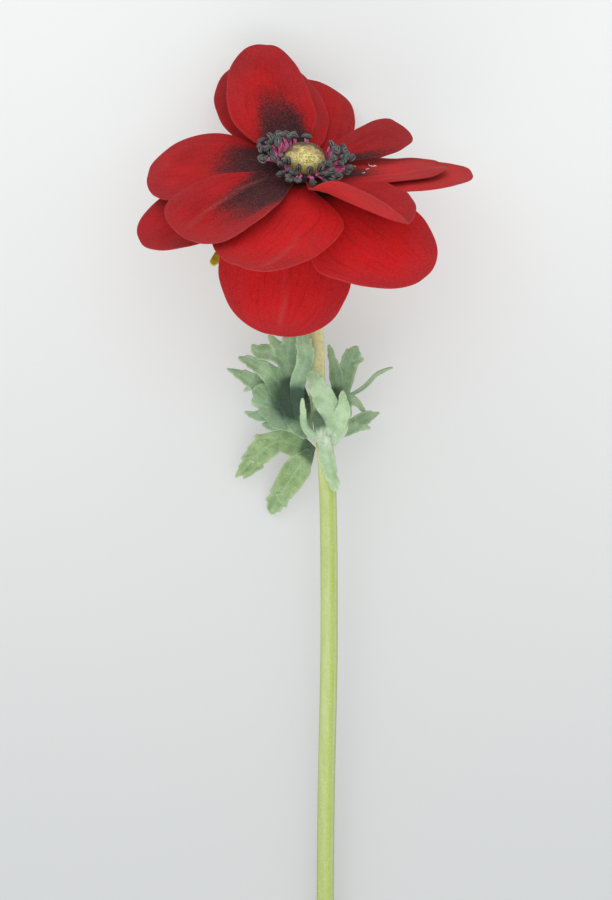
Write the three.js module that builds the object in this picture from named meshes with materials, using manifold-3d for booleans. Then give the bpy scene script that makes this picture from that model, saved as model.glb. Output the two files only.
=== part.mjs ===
// A cut anemone, lying on a table: a red semi-double bloom on its stem, with a ruff of cut leaves.
// Millimetres. +Y runs along the stem to the bloom, +Z is up, and Z = 0 is the table.
// The bloom lies on its back petals, so its face looks up and away from the cut end.
import * as THREE from "three";
import { mergeVertices } from "three/addons/utils/BufferGeometryUtils.js";
import Module from "manifold-3d";

const wasm = await Module();
wasm.setup();

const rad = THREE.MathUtils.degToRad;
const { lerp, smoothstep } = THREE.MathUtils;
const point = (x, y, z) => new THREE.Vector3(x, y, z);

// Driving dimensions
const BLOOM_CENTRE = point(-0.6, 114.5, 39.3);
const BLOOM_ELEVATION = 33;
const BLOOM_LEAN = 10;
const PETAL_THICKNESS = 0.6;
const PETAL_LEVEL_STEP = 1.15;
const PETAL_TOP_LEVEL = 5;
const PETAL_ROOT_RADIUS = 3.6;
const RECEPTACLE = { radius: 3.3, top: 0.45, depth: 8, taper: 6.4 };
const STEM_RADIUS = 2.45;
const DOME = { radius: 6.1, half: 5, middle: 2.9, neck: 3.2, foot: 0.75, lowest: -22 };
const STAMEN_RING = { inner: 6.45, outer: 8, bottom: 1.75, top: 2.4 };
const STAMEN_COUNT = 84;
const STAMEN_ROWS = 3;
const STAMEN_REACH = { first: 7.9, step: 2.3, play: 1.2, front: -0.12 };
const STAMEN_HEIGHT = { first: 6.7, step: -1.2, play: 1, front: -0.35, back: -0.2 };
const FILAMENT = { radius: 0.36, inset: 0.8, sink: 0.2, splay: 10 };
const ANTHER = { length: 2.9, width: 1.5, turn: 120, slope: 0.9 };
const CALYX_RING = { inner: 3.65, outer: 5, bottom: -7.4, top: -6.5 };
const SEPAL_THICKNESS = 0.8;
const LEAF_THICKNESS = 0.6;
const LEAF_FOLD = 8;
const LOBE_END = 0.85;

// The bloom's own axes: its face looks along AXIS, RIGHT and BACK span the plane of its petals.
const elevation = rad(BLOOM_ELEVATION);
const lean = rad(BLOOM_LEAN);
const AXIS = point(Math.sin(lean), Math.cos(lean), Math.tan(elevation)).normalize();
const RIGHT = point(Math.cos(lean), -Math.sin(lean), 0);
const BACK = AXIS.clone().cross(RIGHT);

// Colours as seen on the flower
const finish = (color, roughness) => new THREE.MeshStandardMaterial({ color, roughness, metalness: 0 });
const RED = finish(0xa8141c, 0.85);
const STEM_GREEN = finish(0xc3d283, 0.7);
const SAGE = finish(0x93b48c, 0.85);
const CALYX_GREEN = finish(0xa8a01c, 0.6);
const STRAW = finish(0xd3cb80, 0.7);
const ANTHER_GREY = finish(0x4c4a50, 0.7);

// Petals, in millimetres and degrees. Each stands at an azimuth counted from RIGHT towards BACK, on one
// of five levels of the receptacle, and may swing sideways towards its tip. Pitch is its slope above the
// plane of the petals at its root, middle and tip. Roll lifts its left side, seen from its root. Cup is
// the slope that a side gains from the midline to its edge, and crease folds both sides up along the
// midline. Cup, width and blunt are given for the left side and the right. Widest is the share of its
// length at which it is widest, and a larger blunt makes a side of its tip squarer.
const PETALS = {
  petal_01: {
    level: 5, at: 123, swing: -27, pitch: [12, 17, 17], cup: [15, 15],
    length: 46, width: [14.2, 11.6], widest: 0.42, blunt: [1.6, 2.1],
  },
  petal_02: { level: 2, at: 112, pitch: [5, 10, 12], cup: [-14, 0], length: 49.5, width: [16, 9] },
  petal_03: { level: 3, at: 106, pitch: [7, 10.5, 11], cup: [5, -18], length: 46.5, width: [9, 13] },
  petal_04: {
    level: 1, at: 96, swing: -8, pitch: [5, 9, 11], cup: [-5, -22],
    length: 44.6, width: [12, 14.5], blunt: [4, 4],
  },
  petal_05: {
    level: 5, at: 53, pitch: [11, 5, 0], cup: [5, 0],
    length: 34.6, width: [3.6, 11.5], widest: 0.72, blunt: [4, 3],
  },
  petal_06: {
    level: 4, at: 13.5, pitch: [6, 7.5, 7.5], roll: -20, cup: [8, -8],
    length: 37, width: [13, 11],
  },
  petal_07: {
    level: 3, at: 11, pitch: [5, 7, 8], roll: -19, cup: [5, -8],
    length: 44.5, width: [17.5, 14.5], blunt: [1.6, 1.6],
  },
  petal_08: {
    level: 5, at: 306, swing: 28, pitch: [4, 8, 9], roll: -24, crease: 34,
    length: 39, width: [14.5, 12],
  },
  petal_09: {
    level: 2, at: 321, swing: 5, pitch: [-4, -10, -12], roll: 22,
    length: 45, width: [14.5, 20], widest: 0.52, blunt: [2.3, 1.1],
  },
  petal_10: {
    level: 3, at: 261, swing: -15, pitch: [0, -7, -10], cup: [-10, -18],
    length: 44.2, width: [18, 18], widest: 0.35, blunt: [1.6, 2.1],
  },
  petal_11: {
    level: 1, at: 270, pitch: [-30, -55, -60], cup: [10, 10],
    length: 42.2, width: [18.5, 18.8], blunt: [2.2, 1.8],
  },
  petal_12: {
    level: 4, at: 172, pitch: [5, -21, -34], roll: -11,
    length: 42.5, width: [16, 13], widest: 0.66,
  },
  petal_13: {
    level: 5, at: 229, pitch: [-1, -14, -20], roll: 7, crease: 10,
    length: 41.6, width: [14, 14], widest: 0.66, blunt: [5.5, 4.5],
  },
  petal_14: { level: 2, at: 203, pitch: [-13, -25, -30], cup: [10, 0], length: 45.5, width: [15.5, 14.5] },
};
const PLAIN_PETAL = { swing: 0, roll: 0, cup: [0, 0], crease: 0, widest: 0.58, blunt: [2.1, 2.1] };
const PETAL_ROWS = 9;
const PETAL_COLUMNS = 6;
const PETAL_STEPS = 40;
// Shares of a petal's length: the stretches in which roll and cup set in.
const ROLL_IN = [0.05, 0.6];
const CUP_IN = [0.08, 0.5];
// Shares of half its width: its claw, its blunt tip, and how far from the midline a crease is full.
const CLAW_SHARE = 0.16;
const TIP_SHARE = 0.12;
const CREASE_REACH = 0.18;

// Sepals of the calyx, on the back of the bloom, with half their width
const SEPALS = [
  { at: 220, pitch: [-34, -39, -44], length: 29.5, half: 4.4 },
  { at: 287, pitch: [-62, -66, -70], length: 14, half: 3.4 },
  { at: 359, pitch: [-28, -28, -28], length: 17, half: 3.6 },
  { at: 71, pitch: [-22, -20, -18], length: 17, half: 3.6 },
  { at: 143, pitch: [-34, -34, -34], length: 17, half: 3.6 },
];
const SEPAL_OUTLINE = [0.55, 0.85, 1, 0.75, 0.28];

// The stem's middle line from below the receptacle to the cut end
const STEM_LINE = [
  point(-1, 92.5, 26.8),
  point(1.6, 79, 23.4),
  point(2.7, 67.8, 22.1),
  point(3.3, 53, 20.7),
  point(5.2, 38.9, 19.4),
  point(6.2, 25, 18.2),
  point(6.6, -20, 14.2),
  point(5.8, -62, 10.4),
  point(5.5, -100, 7),
  point(5.4, -151.6, 2.45),
];
const STEM_RINGS = 44;
const STEM_SIDES = 12;

// Leaves. A lobe is a strip through stations of x, y, z and half its width in millimetres, and the tilt
// of its face in degrees where it has one. The lobes of a leaf run into one another at their roots.
const LEAVES = {
  leaf_left: [
    [
      [0.9, 39.8, 18, 1.6], [-1.5, 44, 15, 3.8], [-3, 50, 13.8, 4.4],
      [-4.3, 57, 15, 3.4], [-5, 63, 18, 2.8], [-4.4, 67.5, 19.8, 2.3], [-4, 71, 21, 1],
    ],
    [[-5.4, 61.5, 17.2, 2], [-7.6, 65, 19, 2], [-10.4, 68.4, 20.5, 0.7]],
    [
      [-1.8, 45.5, 14.8, 1], [-2.4, 51, 16, 1.9], [-2, 56, 21, 2.2],
      [0, 62, 25.8, 2.7], [-0.6, 67, 27, 2.2], [-1.3, 71, 27.6, 0.9],
    ],
    [
      [-4.3, 57, 15, 2], [-6.5, 61.5, 17.5, 2], [-10, 63.5, 19, 2.2],
      [-13.5, 64.2, 20, 2.3], [-15.3, 65.6, 21, 0.8],
    ],
    [
      [-2, 47, 14.3, 3.6], [-6, 53, 14.2, 4.2], [-10.5, 58, 16.5, 2.6],
      [-15, 60.8, 19, 2.1], [-19, 62.2, 21, 0.6],
    ],
    [[-6, 51, 13.8, 3.6], [-12, 54, 13.2, 3], [-16.5, 56.5, 12.5, 2.1], [-22.3, 59.2, 12, 0.5]],
    [[-14, 55, 12.8, 1.4], [-17.5, 53, 12, 0.5]],
    [[-1, 42.5, 15.8, 2.6], [-5, 46, 13.2, 5.4], [-10, 50, 13.2, 5], [-14.5, 54, 15, 2.4]],
    [[-10, 48, 13, 2], [-15.2, 49.5, 14, 0.5]],
    [[-9, 46.5, 13, 2], [-13, 45.8, 12, 1.6], [-17.3, 46.8, 11, 0.5]],
    [[-6, 44.5, 13, 2], [-9.5, 43.2, 12, 1.8], [-12.2, 43.4, 11.5, 0.5]],
  ],
  leaf_front: [
    [
      [2.4, 35.6, 18.2, 1.3], [-3, 37.6, 12, 3.4], [-8, 38.5, 9.5, 3.4],
      [-13, 35.5, 7.5, 3.6], [-17, 31.5, 5.5, 2.2], [-20, 28.3, 4, 0.5],
    ],
    [[-9, 39.5, 9.2, 1.5], [-14.6, 40, 8.5, 0.5]],
    [[-13.5, 34.5, 7.3, 2.2], [-18.2, 33.6, 6, 0.5]],
    [[-13, 32.5, 7, 1.8], [-17.8, 28, 5, 0.5]],
    [[1.6, 36.2, 17, 1.2], [-1.5, 32, 11.5, 3.9], [-4.5, 27.5, 8, 3.7], [-8, 22, 4.5, 3.2], [-10, 18, 2, 1.4]],
    [[-6.5, 24, 6, 2.2], [-6.3, 20.2, 4.5, 0.5]],
  ],
  leaf_top: [
    [[1.6, 40.2, 21.5, 1.2], [5.2, 38.9, 22.9, 1.4], [8.6, 38, 21.3, 1.2]],
    [[5.2, 39.5, 22.9, 1.8], [5.9, 34.5, 22.2, 2.2], [7, 30, 21.8, 2], [8.6, 24.6, 22, 1.4]],
    [[2.6, 39.5, 22, 1.2], [-0.2, 43, 24.5, 1.2], [-0.9, 50.6, 28, 0.6]],
    [
      [7.6, 38.4, 21.9, 1.6], [8.9, 43, 23.6, 3.2], [6.6, 48, 26, 3.2],
      [3.4, 54, 28, 3], [1.5, 58.5, 27.5, 1.8],
    ],
    [[8.9, 43, 23.6, 2.6], [10.6, 47.5, 26.5, 2.2], [10.3, 52.7, 29, 0.7]],
    [[4.4, 40, 23, 1.4], [4.4, 45.5, 24.2, 2.5], [4, 51, 25, 1.9], [3.6, 55, 25.8, 0.6]],
  ],
  leaf_right: [
    [[9.3, 39.8, 18.2, 1.4], [10.6, 46, 15, 2.4], [10.2, 52, 14, 2.4]],
    [[9.8, 50, 14.3, 2], [8.5, 58, 17, 1.9], [6.6, 65.8, 19.5, 0.6]],
    [[10.2, 51, 14.1, 2.2], [11.5, 58, 16, 2.6], [13.2, 62.5, 18, 2.8], [14.6, 65.4, 19.5, 1.2]],
    [[13.2, 61.5, 17.6, 1.8], [16.3, 61.8, 18.5, 0.6]],
    [
      [10.3, 50.5, 14.3, 1.2, 30], [13.5, 52.2, 12, 1.2, 65], [16.5, 54, 11, 1.2, 70],
      [20.5, 58, 11, 1.2, 70], [24.7, 59.6, 12, 0.5, 60],
    ],
    [[10, 40.8, 17.2, 1.6], [13.5, 43, 14.5, 2.2], [17, 45.3, 11.5, 2], [20.9, 46.6, 9, 0.5]],
    [[13.5, 42.8, 14.5, 1.6], [18.3, 42.4, 12, 0.5]],
    [[10.4, 51, 14.2, 1.4], [13.9, 50, 12.5, 1.3], [16.8, 47.2, 10.5, 0.6]],
  ],
};

// Evenly spaced shares from one value to another.
const shares = (count, from = 0, to = 1) => [...Array(count + 1).keys()].map((i) => lerp(from, to, i / count));

// A value that runs through evenly spaced stations.
function through(values, s) {
  const f = Math.min(values.length - 1, Math.max(0, s * (values.length - 1)));
  const i = Math.min(values.length - 2, Math.floor(f));
  return lerp(values[i], values[i + 1], f - i);
}

// A geometry from a flat list of coordinates and a list of triangles.
function meshed(positions, index) {
  const geometry = new THREE.BufferGeometry();
  geometry.setAttribute("position", new THREE.Float32BufferAttribute(positions, 3));
  geometry.setIndex(index);
  return geometry;
}

// Closed geometries joined into one solid.
function joined(geometries) {
  const solids = geometries.map((geometry) => {
    const bare = new THREE.BufferGeometry();
    bare.setAttribute("position", geometry.getAttribute("position"));
    bare.setIndex(geometry.index);
    const { attributes, index } = mergeVertices(bare, 1e-4);
    const vertProperties = attributes.position.array;
    const triVerts = new Uint32Array(index.array);
    return new wasm.Manifold(new wasm.Mesh({ numProp: 3, vertProperties, triVerts }));
  });
  const { vertProperties, triVerts } = wasm.Manifold.union(solids).getMesh();
  return meshed(Array.from(vertProperties), Array.from(triVerts));
}

// A direction in the plane of the petals.
function outwards(azimuth) {
  const angle = rad(azimuth);
  return RIGHT.clone().multiplyScalar(Math.cos(angle)).addScaledVector(BACK, Math.sin(angle));
}

// A point by its distance from the bloom's axis, its azimuth and its height above the upper petals.
function onBloom(radius, azimuth, height) {
  return BLOOM_CENTRE.clone().addScaledVector(outwards(azimuth), radius).addScaledVector(AXIS, height);
}

// A body turned about the bloom's axis. The profile runs counter-clockwise as [radius, height] pairs.
function turned(profile, segments) {
  const points = profile.map(([radius, height]) => new THREE.Vector2(radius, height));
  const frame = new THREE.Matrix4().makeBasis(RIGHT, AXIS, BACK.clone().negate());
  frame.setPosition(BLOOM_CENTRE);
  return new THREE.LatheGeometry(points, segments).applyMatrix4(frame);
}

function turnedRing({ inner, outer, bottom, top }, segments) {
  return turned([[inner, bottom], [outer, bottom], [outer, top], [inner, top], [inner, bottom]], segments);
}

// A closed blade of even thickness on a middle surface, split alike on both faces. The surface is a
// function of s along the blade and t across it.
function blade(surface, rows, columns, thickness) {
  const positions = [];
  const index = [];
  const step = 1e-3;
  for (const side of [1, -1])
    for (const s of rows)
      for (const t of columns) {
        const along = surface(Math.min(1, s + step), t).sub(surface(Math.max(0, s - step), t));
        const across = surface(s, t + step).sub(surface(s, t - step));
        const normal = along.cross(across).normalize();
        positions.push(...surface(s, t).addScaledVector(normal, (side * thickness) / 2));
      }
  const wide = columns.length;
  const last = (rows.length - 1) * wide;
  const face = rows.length * wide;
  for (let i = 0; i < last; i += wide)
    for (let a = i; a + 1 < i + wide; a++) {
      const [b, c, d] = [a + wide, a + wide + 1, a + 1];
      index.push(a, b, c, a, c, d);
      index.push(face + a, face + c, face + b, face + a, face + d, face + c);
    }
  const rim = [];
  for (let j = 0; j + 1 < wide; j++) rim.push([j + 1, j], [last + j, last + j + 1]);
  for (let i = 0; i < last; i += wide) rim.push([i, i + wide], [i + 2 * wide - 1, i + wide - 1]);
  for (const [a, b] of rim) index.push(a, face + a, face + b, a, face + b, b);
  return meshed(positions, index);
}

// A closed round bar along a line, with its radius as a function of the share of the line.
function bar(line, rings, sides, radiusAt) {
  const positions = [];
  const index = [];
  for (const s of shares(rings)) {
    const along = line.getTangentAt(s);
    const right = along.clone().cross(point(0, 0, 1)).normalize();
    const up = right.clone().cross(along);
    for (let k = 0; k < sides; k++) {
      const angle = (2 * Math.PI * k) / sides;
      const spot = line.getPointAt(s).addScaledVector(right, Math.cos(angle) * radiusAt(s));
      positions.push(...spot.addScaledVector(up, Math.sin(angle) * radiusAt(s)));
    }
  }
  const last = rings * sides;
  for (let i = 0; i < last; i += sides)
    for (let k = 0; k < sides; k++) {
      const a = i + k;
      const b = i + ((k + 1) % sides);
      index.push(a, b + sides, b, a, a + sides, b + sides);
    }
  for (let k = 1; k + 1 < sides; k++) index.push(0, k, k + 1, last, last + k + 1, last + k);
  return meshed(positions, index);
}

// The stem, with the receptacle that carries the petals at its head
function stemGeometry() {
  const { radius, top, depth, taper } = RECEPTACLE;
  const head = [top, -depth / 2, -depth, -depth - 5].map((height) => onBloom(0, 0, height));
  const line = new THREE.CatmullRomCurve3([...head, ...STEM_LINE], false, "centripetal");
  const length = line.getLength();
  const radiusAt = (s) => lerp(radius, STEM_RADIUS, smoothstep(s * length, depth, depth + taper));
  return bar(line, STEM_RINGS, STEM_SIDES, radiusAt);
}

// The width of a petal's side at share s of its length, as a share of its greatest width.
function petalOutline({ widest, blunt }, side, s) {
  if (s < widest) return lerp(CLAW_SHARE, 1, Math.sin((Math.PI / 2) * (s / widest)) ** 1.35);
  const u = (s - widest) / (1 - widest);
  return Math.sqrt(Math.max(0, 1 - u ** blunt[side])) * (1 - TIP_SHARE) + TIP_SHARE;
}

// How far a petal's half reaches sideways and up from the midline, at share w of its width.
function petalSection(reach, cup, crease) {
  const slices = 12;
  let across = 0;
  let lift = 0;
  for (let k = 0; k < slices; k++) {
    const w = ((k + 0.5) / slices) * reach.share;
    const slope = cup * w + crease * Math.min(1, w / CREASE_REACH);
    across += (Math.cos(slope) * reach.length) / slices;
    lift += (Math.sin(slope) * reach.length) / slices;
  }
  return [across, lift];
}

// The middle surface of a petal
function petalSurface(petal) {
  const stations = [];
  const place = onBloom(PETAL_ROOT_RADIUS, petal.at, (petal.level - PETAL_TOP_LEVEL) * PETAL_LEVEL_STEP);
  for (const s of shares(PETAL_STEPS)) {
    const outward = outwards(petal.at + petal.swing * s);
    const pitch = rad(through(petal.pitch, s));
    const along = outward.clone().multiplyScalar(Math.cos(pitch)).addScaledVector(AXIS, Math.sin(pitch));
    const left = AXIS.clone().cross(outward).applyAxisAngle(along, rad(petal.roll) * smoothstep(s, ...ROLL_IN));
    stations.push({ place: place.clone(), left, up: along.clone().cross(left) });
    place.addScaledVector(along, petal.length / PETAL_STEPS);
  }
  return (s, t) => {
    const f = Math.min(PETAL_STEPS, Math.max(0, s * PETAL_STEPS));
    const a = stations[Math.floor(f)];
    const b = stations[Math.min(PETAL_STEPS, Math.floor(f) + 1)];
    const mix = f - Math.floor(f);
    const side = t > 0 ? 0 : 1;
    const open = smoothstep(s, ...CUP_IN);
    const width = petalOutline(petal, side, s) * petal.width[side];
    const reach = { share: Math.abs(t), length: width * Math.abs(t) };
    const [across, lift] = petalSection(reach, rad(petal.cup[side]) * open, rad(petal.crease) * open);
    const left = a.left.clone().lerp(b.left, mix).normalize();
    const up = a.up.clone().lerp(b.up, mix).normalize();
    const middle = a.place.clone().lerp(b.place, mix);
    return middle.addScaledVector(left, across * Math.sign(t)).addScaledVector(up, lift);
  };
}

// The middle surface of a sepal, rooted in the calyx ring and pointed at its tip
function sepalSurface(sepal) {
  const steps = 12;
  const left = AXIS.clone().cross(outwards(sepal.at));
  return (s, t) => {
    let radius = CALYX_RING.outer - 0.9;
    let height = (CALYX_RING.top + CALYX_RING.bottom) / 2;
    for (let i = 0; i < steps; i++) {
      const pitch = rad(through(sepal.pitch, ((i + 0.5) / steps) * s));
      radius += (Math.cos(pitch) * sepal.length * s) / steps;
      height += (Math.sin(pitch) * sepal.length * s) / steps;
    }
    return onBloom(radius, sepal.at, height).addScaledVector(left, sepal.half * through(SEPAL_OUTLINE, s) * t);
  };
}

function calyxGeometry() {
  const across = shares(2, -1, 1);
  const sepals = SEPALS.map((sepal) => blade(sepalSurface(sepal), shares(6), across, SEPAL_THICKNESS));
  return joined([turnedRing(CALYX_RING, 20), ...sepals]);
}

// A lobe's width closes in a round end over the last stretch of its length.
const lobeEnd = (s) => lerp(0.25, 1, Math.sqrt(1 - Math.max(0, (s - LOBE_END) / (1 - LOBE_END)) ** 2));

// The middle surface of a leaf's lobe. Its edges stand a little higher than its midrib.
function lobeSurface(stations) {
  const line = new THREE.CatmullRomCurve3(stations.map(([x, y, z]) => point(x, y, z)));
  const halves = stations.map((station) => station[3]);
  const tilts = stations.map((station) => station[4] ?? 0);
  return (s, t) => {
    const along = line.getTangent(s);
    const left = point(0, 0, 1).cross(along).normalize().applyAxisAngle(along, rad(through(tilts, s)));
    const up = along.clone().cross(left);
    const half = through(halves, s) * lobeEnd(s);
    const lift = Math.abs(t) * half * Math.tan(rad(LEAF_FOLD));
    return line.getPoint(s).addScaledVector(left, half * t).addScaledVector(up, lift);
  };
}

function leafGeometry(lobes) {
  const blades = lobes.map((stations) => {
    const even = shares(2 * (stations.length - 1));
    const rows = [...even.filter((s) => s < LOBE_END), LOBE_END, (LOBE_END + 2) / 3, 1];
    return blade(lobeSurface(stations), rows, shares(2, -1, 1), LEAF_THICKNESS);
  });
  return joined(blades);
}

// A spread of fixed values between 0 and 1, one for each index.
const scatter = (i, salt) => Math.abs(Math.sin(i * 12.9898 + salt * 78.233) * 43758.5453) % 1;

// Stamens follow one another by the golden angle.
const stamenAzimuth = (i) => (i * 137.508) % 360;

// They stand thick at the left and the right of the dome, thinner in front and thinnest behind it.
function stamenShare(azimuth) {
  if (Math.abs(Math.cos(rad(azimuth))) > 0.55) return 1;
  return azimuth > 180 ? 0.6 : 0.3;
}

// One stamen: a filament that leans out from the ring and an anther across its end. The outer rows lean
// further out and lie lower, and those behind the dome and in front of it lie lower still.
function stamen(i) {
  const azimuth = stamenAzimuth(i);
  const row = i % STAMEN_ROWS;
  const back = Math.max(0, Math.sin(rad(azimuth)));
  const front = Math.max(0, -Math.sin(rad(azimuth)));
  const root = onBloom(STAMEN_RING.outer - FILAMENT.inset, azimuth, STAMEN_RING.bottom + FILAMENT.sink);
  const reach = STAMEN_REACH.first + row * STAMEN_REACH.step + scatter(i, 1) * STAMEN_REACH.play;
  const radius = reach * (1 + STAMEN_REACH.front * front);
  const rise = STAMEN_HEIGHT.first + row * STAMEN_HEIGHT.step + scatter(i, 2) * STAMEN_HEIGHT.play;
  const height = rise * (1 + STAMEN_HEIGHT.front * front + STAMEN_HEIGHT.back * back);
  const tip = onBloom(radius, azimuth + (scatter(i, 3) - 0.5) * FILAMENT.splay, height);
  const slope = tip.clone().sub(root);
  const aim = (direction) => new THREE.Quaternion().setFromUnitVectors(point(0, 1, 0), direction.normalize());
  const filament = new THREE.CylinderGeometry(FILAMENT.radius, FILAMENT.radius, slope.length(), 3);
  filament.applyQuaternion(aim(slope)).translate(...root.clone().lerp(tip, 0.5));
  // An anther is a four-sided spindle, given as shares of its width and length.
  const outline = [[0, -0.5], [0.46, -0.24], [0.46, 0.24], [0, 0.5]];
  const profile = outline.map(([r, h]) => new THREE.Vector2(r * ANTHER.width, h * ANTHER.length));
  const anther = new THREE.LatheGeometry(profile, 4);
  const across = outwards(azimuth + 90 + (scatter(i, 4) - 0.5) * ANTHER.turn);
  across.addScaledVector(AXIS, (scatter(i, 5) - 0.3) * ANTHER.slope);
  anther.applyQuaternion(aim(across)).translate(...tip);
  return [filament, anther];
}

function stamensGeometry() {
  const kept = [...Array(STAMEN_COUNT).keys()].filter((i) => scatter(i, 6) < stamenShare(stamenAzimuth(i)));
  return joined([turnedRing(STAMEN_RING, 24), ...kept.flatMap(stamen)]);
}

// The round centre, a ball that is a little flat, on a short neck inside the stamen ring
function domeGeometry() {
  const { radius, half, middle, neck, foot, lowest } = DOME;
  const ball = shares(8, lowest, 90).map((angle) => [
    radius * Math.cos(rad(angle)),
    middle + half * Math.sin(rad(angle)),
  ]);
  ball.pop();
  return turned([[0, foot], [neck, foot], ...ball, [0, middle + half]], 20);
}

const flower = new THREE.Group();
function add(name, geometry, material) {
  const mesh = new THREE.Mesh(geometry, material);
  mesh.name = name;
  flower.add(mesh);
}

add("stem", stemGeometry(), STEM_GREEN);
add("calyx", calyxGeometry(), CALYX_GREEN);
// Rows stand closer together towards the round tip.
const petalRows = shares(PETAL_ROWS).map((share) => 1 - (1 - share) ** 1.35);
const petalColumns = shares(PETAL_COLUMNS, -1, 1);
for (const [name, sizes] of Object.entries(PETALS)) {
  const surface = petalSurface({ ...PLAIN_PETAL, ...sizes });
  add(name, blade(surface, petalRows, petalColumns, PETAL_THICKNESS), RED);
}
add("stamens", stamensGeometry(), ANTHER_GREY);
add("centre_dome", domeGeometry(), STRAW);
for (const [name, lobes] of Object.entries(LEAVES)) add(name, leafGeometry(lobes), SAGE);

export default flower;
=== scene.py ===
"""A cut anemone lying on a pale table, dressed for the camera.

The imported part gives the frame. Each piece here repeats the form of the node that it stands for, from
the same driving dimensions, and adds the finer surface that shows from close by: velvet petals with a
dark speckled foot, two-lobed anthers on pink threads, a grained dome, a downy stem and suede leaves.
Lengths are in millimetres and angles in degrees, unless a comment says otherwise.
"""

import logging
import math
from collections.abc import Callable, Sequence
from dataclasses import dataclass, field
from enum import Enum

import bpy
import numpy as np
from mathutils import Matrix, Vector, kdtree, noise


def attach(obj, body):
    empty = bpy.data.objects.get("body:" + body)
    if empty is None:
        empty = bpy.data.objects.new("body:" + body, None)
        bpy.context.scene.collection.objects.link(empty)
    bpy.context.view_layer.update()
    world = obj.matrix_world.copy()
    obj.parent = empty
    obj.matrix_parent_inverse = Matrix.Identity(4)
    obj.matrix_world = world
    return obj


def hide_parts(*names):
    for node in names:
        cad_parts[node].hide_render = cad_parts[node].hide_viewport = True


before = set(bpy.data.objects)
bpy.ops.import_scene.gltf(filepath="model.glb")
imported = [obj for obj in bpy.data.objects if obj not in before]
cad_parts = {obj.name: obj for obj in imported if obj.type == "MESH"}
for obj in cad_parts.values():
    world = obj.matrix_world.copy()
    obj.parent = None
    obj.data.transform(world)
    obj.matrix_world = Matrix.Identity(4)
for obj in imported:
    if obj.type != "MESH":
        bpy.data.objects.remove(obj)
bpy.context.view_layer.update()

logging.basicConfig(level=logging.INFO, format="%(message)s")
log = logging.getLogger("anemone")

MM = 0.001
BODY = "root"
PHOTO_HEIGHT = 900
MM_PER_PIXEL = 0.28

Points = np.ndarray
Surface = Callable[[np.ndarray, np.ndarray], Points]


class Slot(Enum):
    """The record's material slots."""

    PETAL = "petal"
    STEM = "stem"
    CALYX = "calyx"
    STAMENS = "stamens"
    DOME = "centre_dome"
    LEAF = "leaf"


def unit(v: Points) -> Points:
    """Returns vectors of length one along v."""
    return v / np.linalg.norm(v, axis=-1, keepdims=True)


def ramp(x: np.ndarray, low: float, high: float) -> np.ndarray:
    """Returns a smooth step from 0 at low to 1 at high."""
    u = np.clip((x - low) / (high - low), 0, 1)
    return u * u * (3 - 2 * u)


def turned_about(v: Points, axis: Points, angle: np.ndarray) -> Points:
    """Turns vectors that stand square to an axis.

    Args:
        v: The vectors.
        axis: Unit vectors square to them.
        angle: The angle in radians, for each.

    Returns:
        The turned vectors.
    """
    angle = np.asarray(angle)[..., None]
    return v * np.cos(angle) + np.cross(axis, v) * np.sin(angle)


def scatter(i: float, salt: int) -> float:
    """Returns a fixed value between 0 and 1 for an index."""
    return abs(math.sin(i * 12.9898 + salt * 78.233) * 43758.5453) % 1


def centripetal(points: Sequence[Sequence[float]], u: np.ndarray) -> Points:
    """Follows a centripetal Catmull-Rom curve.

    Args:
        points: The points that it passes through.
        u: Shares of the curve, with its points evenly spaced in them.

    Returns:
        The places at those shares.
    """
    p = np.array(points, float)
    p = np.vstack([2 * p[0] - p[1], p, 2 * p[-1] - p[-2]])
    spans = len(points) - 1
    f = np.clip(np.asarray(u, float), 0, 1) * spans
    k = np.minimum(f.astype(int), spans - 1)
    w = (f - k)[..., None]
    a, b, c, d = p[k], p[k + 1], p[k + 2], p[k + 3]
    steps = ((a, b), (b, c), (c, d))
    before, between, after = (np.linalg.norm(y - x, axis=-1, keepdims=True) ** 0.5 for x, y in steps)
    start = ((b - a) / before - (c - a) / (before + between) + (c - b) / between) * between
    end = ((c - b) / between - (d - b) / (between + after) + (d - c) / after) * between
    return b + start * w + (3 * (c - b) - 2 * start - end) * w**2 + (2 * (b - c) + start + end) * w**3


class BloomAxes:
    """Where the bloom sits and how its face is turned. Its face looks along axis."""

    ELEVATION = 33
    LEAN = 10
    CENTRE = (-0.6, 114.5, 39.3)

    def __init__(self) -> None:
        """Works the axes out from the bloom's elevation and lean."""
        elevation, lean = math.radians(self.ELEVATION), math.radians(self.LEAN)
        flat = math.cos(elevation)
        self.centre = np.array(self.CENTRE)
        self.axis = np.array([math.sin(lean) * flat, math.cos(lean) * flat, math.sin(elevation)])
        self.right = np.array([math.cos(lean), -math.sin(lean), 0])
        self.back = np.cross(self.axis, self.right)

    def outwards(self, azimuth: np.ndarray | float) -> Points:
        """Returns directions in the plane of the petals, for azimuths in degrees."""
        angle = np.radians(np.asarray(azimuth, float))[..., None]
        return self.right * np.cos(angle) + self.back * np.sin(angle)

    def at(self, radius: float, azimuth: float, height: float) -> Points:
        """Returns the place at a distance from the bloom's axis, an azimuth and a height."""
        return self.centre + self.outwards(azimuth) * radius + self.axis * height


BLOOM = BloomAxes()


def linked(name: str, data: bpy.types.ID) -> bpy.types.Object:
    """Returns a new object of the given data, linked to the scene."""
    made = bpy.data.objects.new(name, data)
    bpy.context.scene.collection.objects.link(made)
    return made


def marked(mesh: bpy.types.Mesh, marks: dict[str, np.ndarray]) -> None:
    """Writes numbers or vectors for a mesh's points as its attributes, by name."""
    for name, values in marks.items():
        kind, member = ("FLOAT_VECTOR", "vector") if np.ndim(values) > 1 else ("FLOAT", "value")
        attribute = mesh.attributes.new(name, kind, "POINT")
        attribute.data.foreach_set(member, np.asarray(values, np.float32).ravel())


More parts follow.
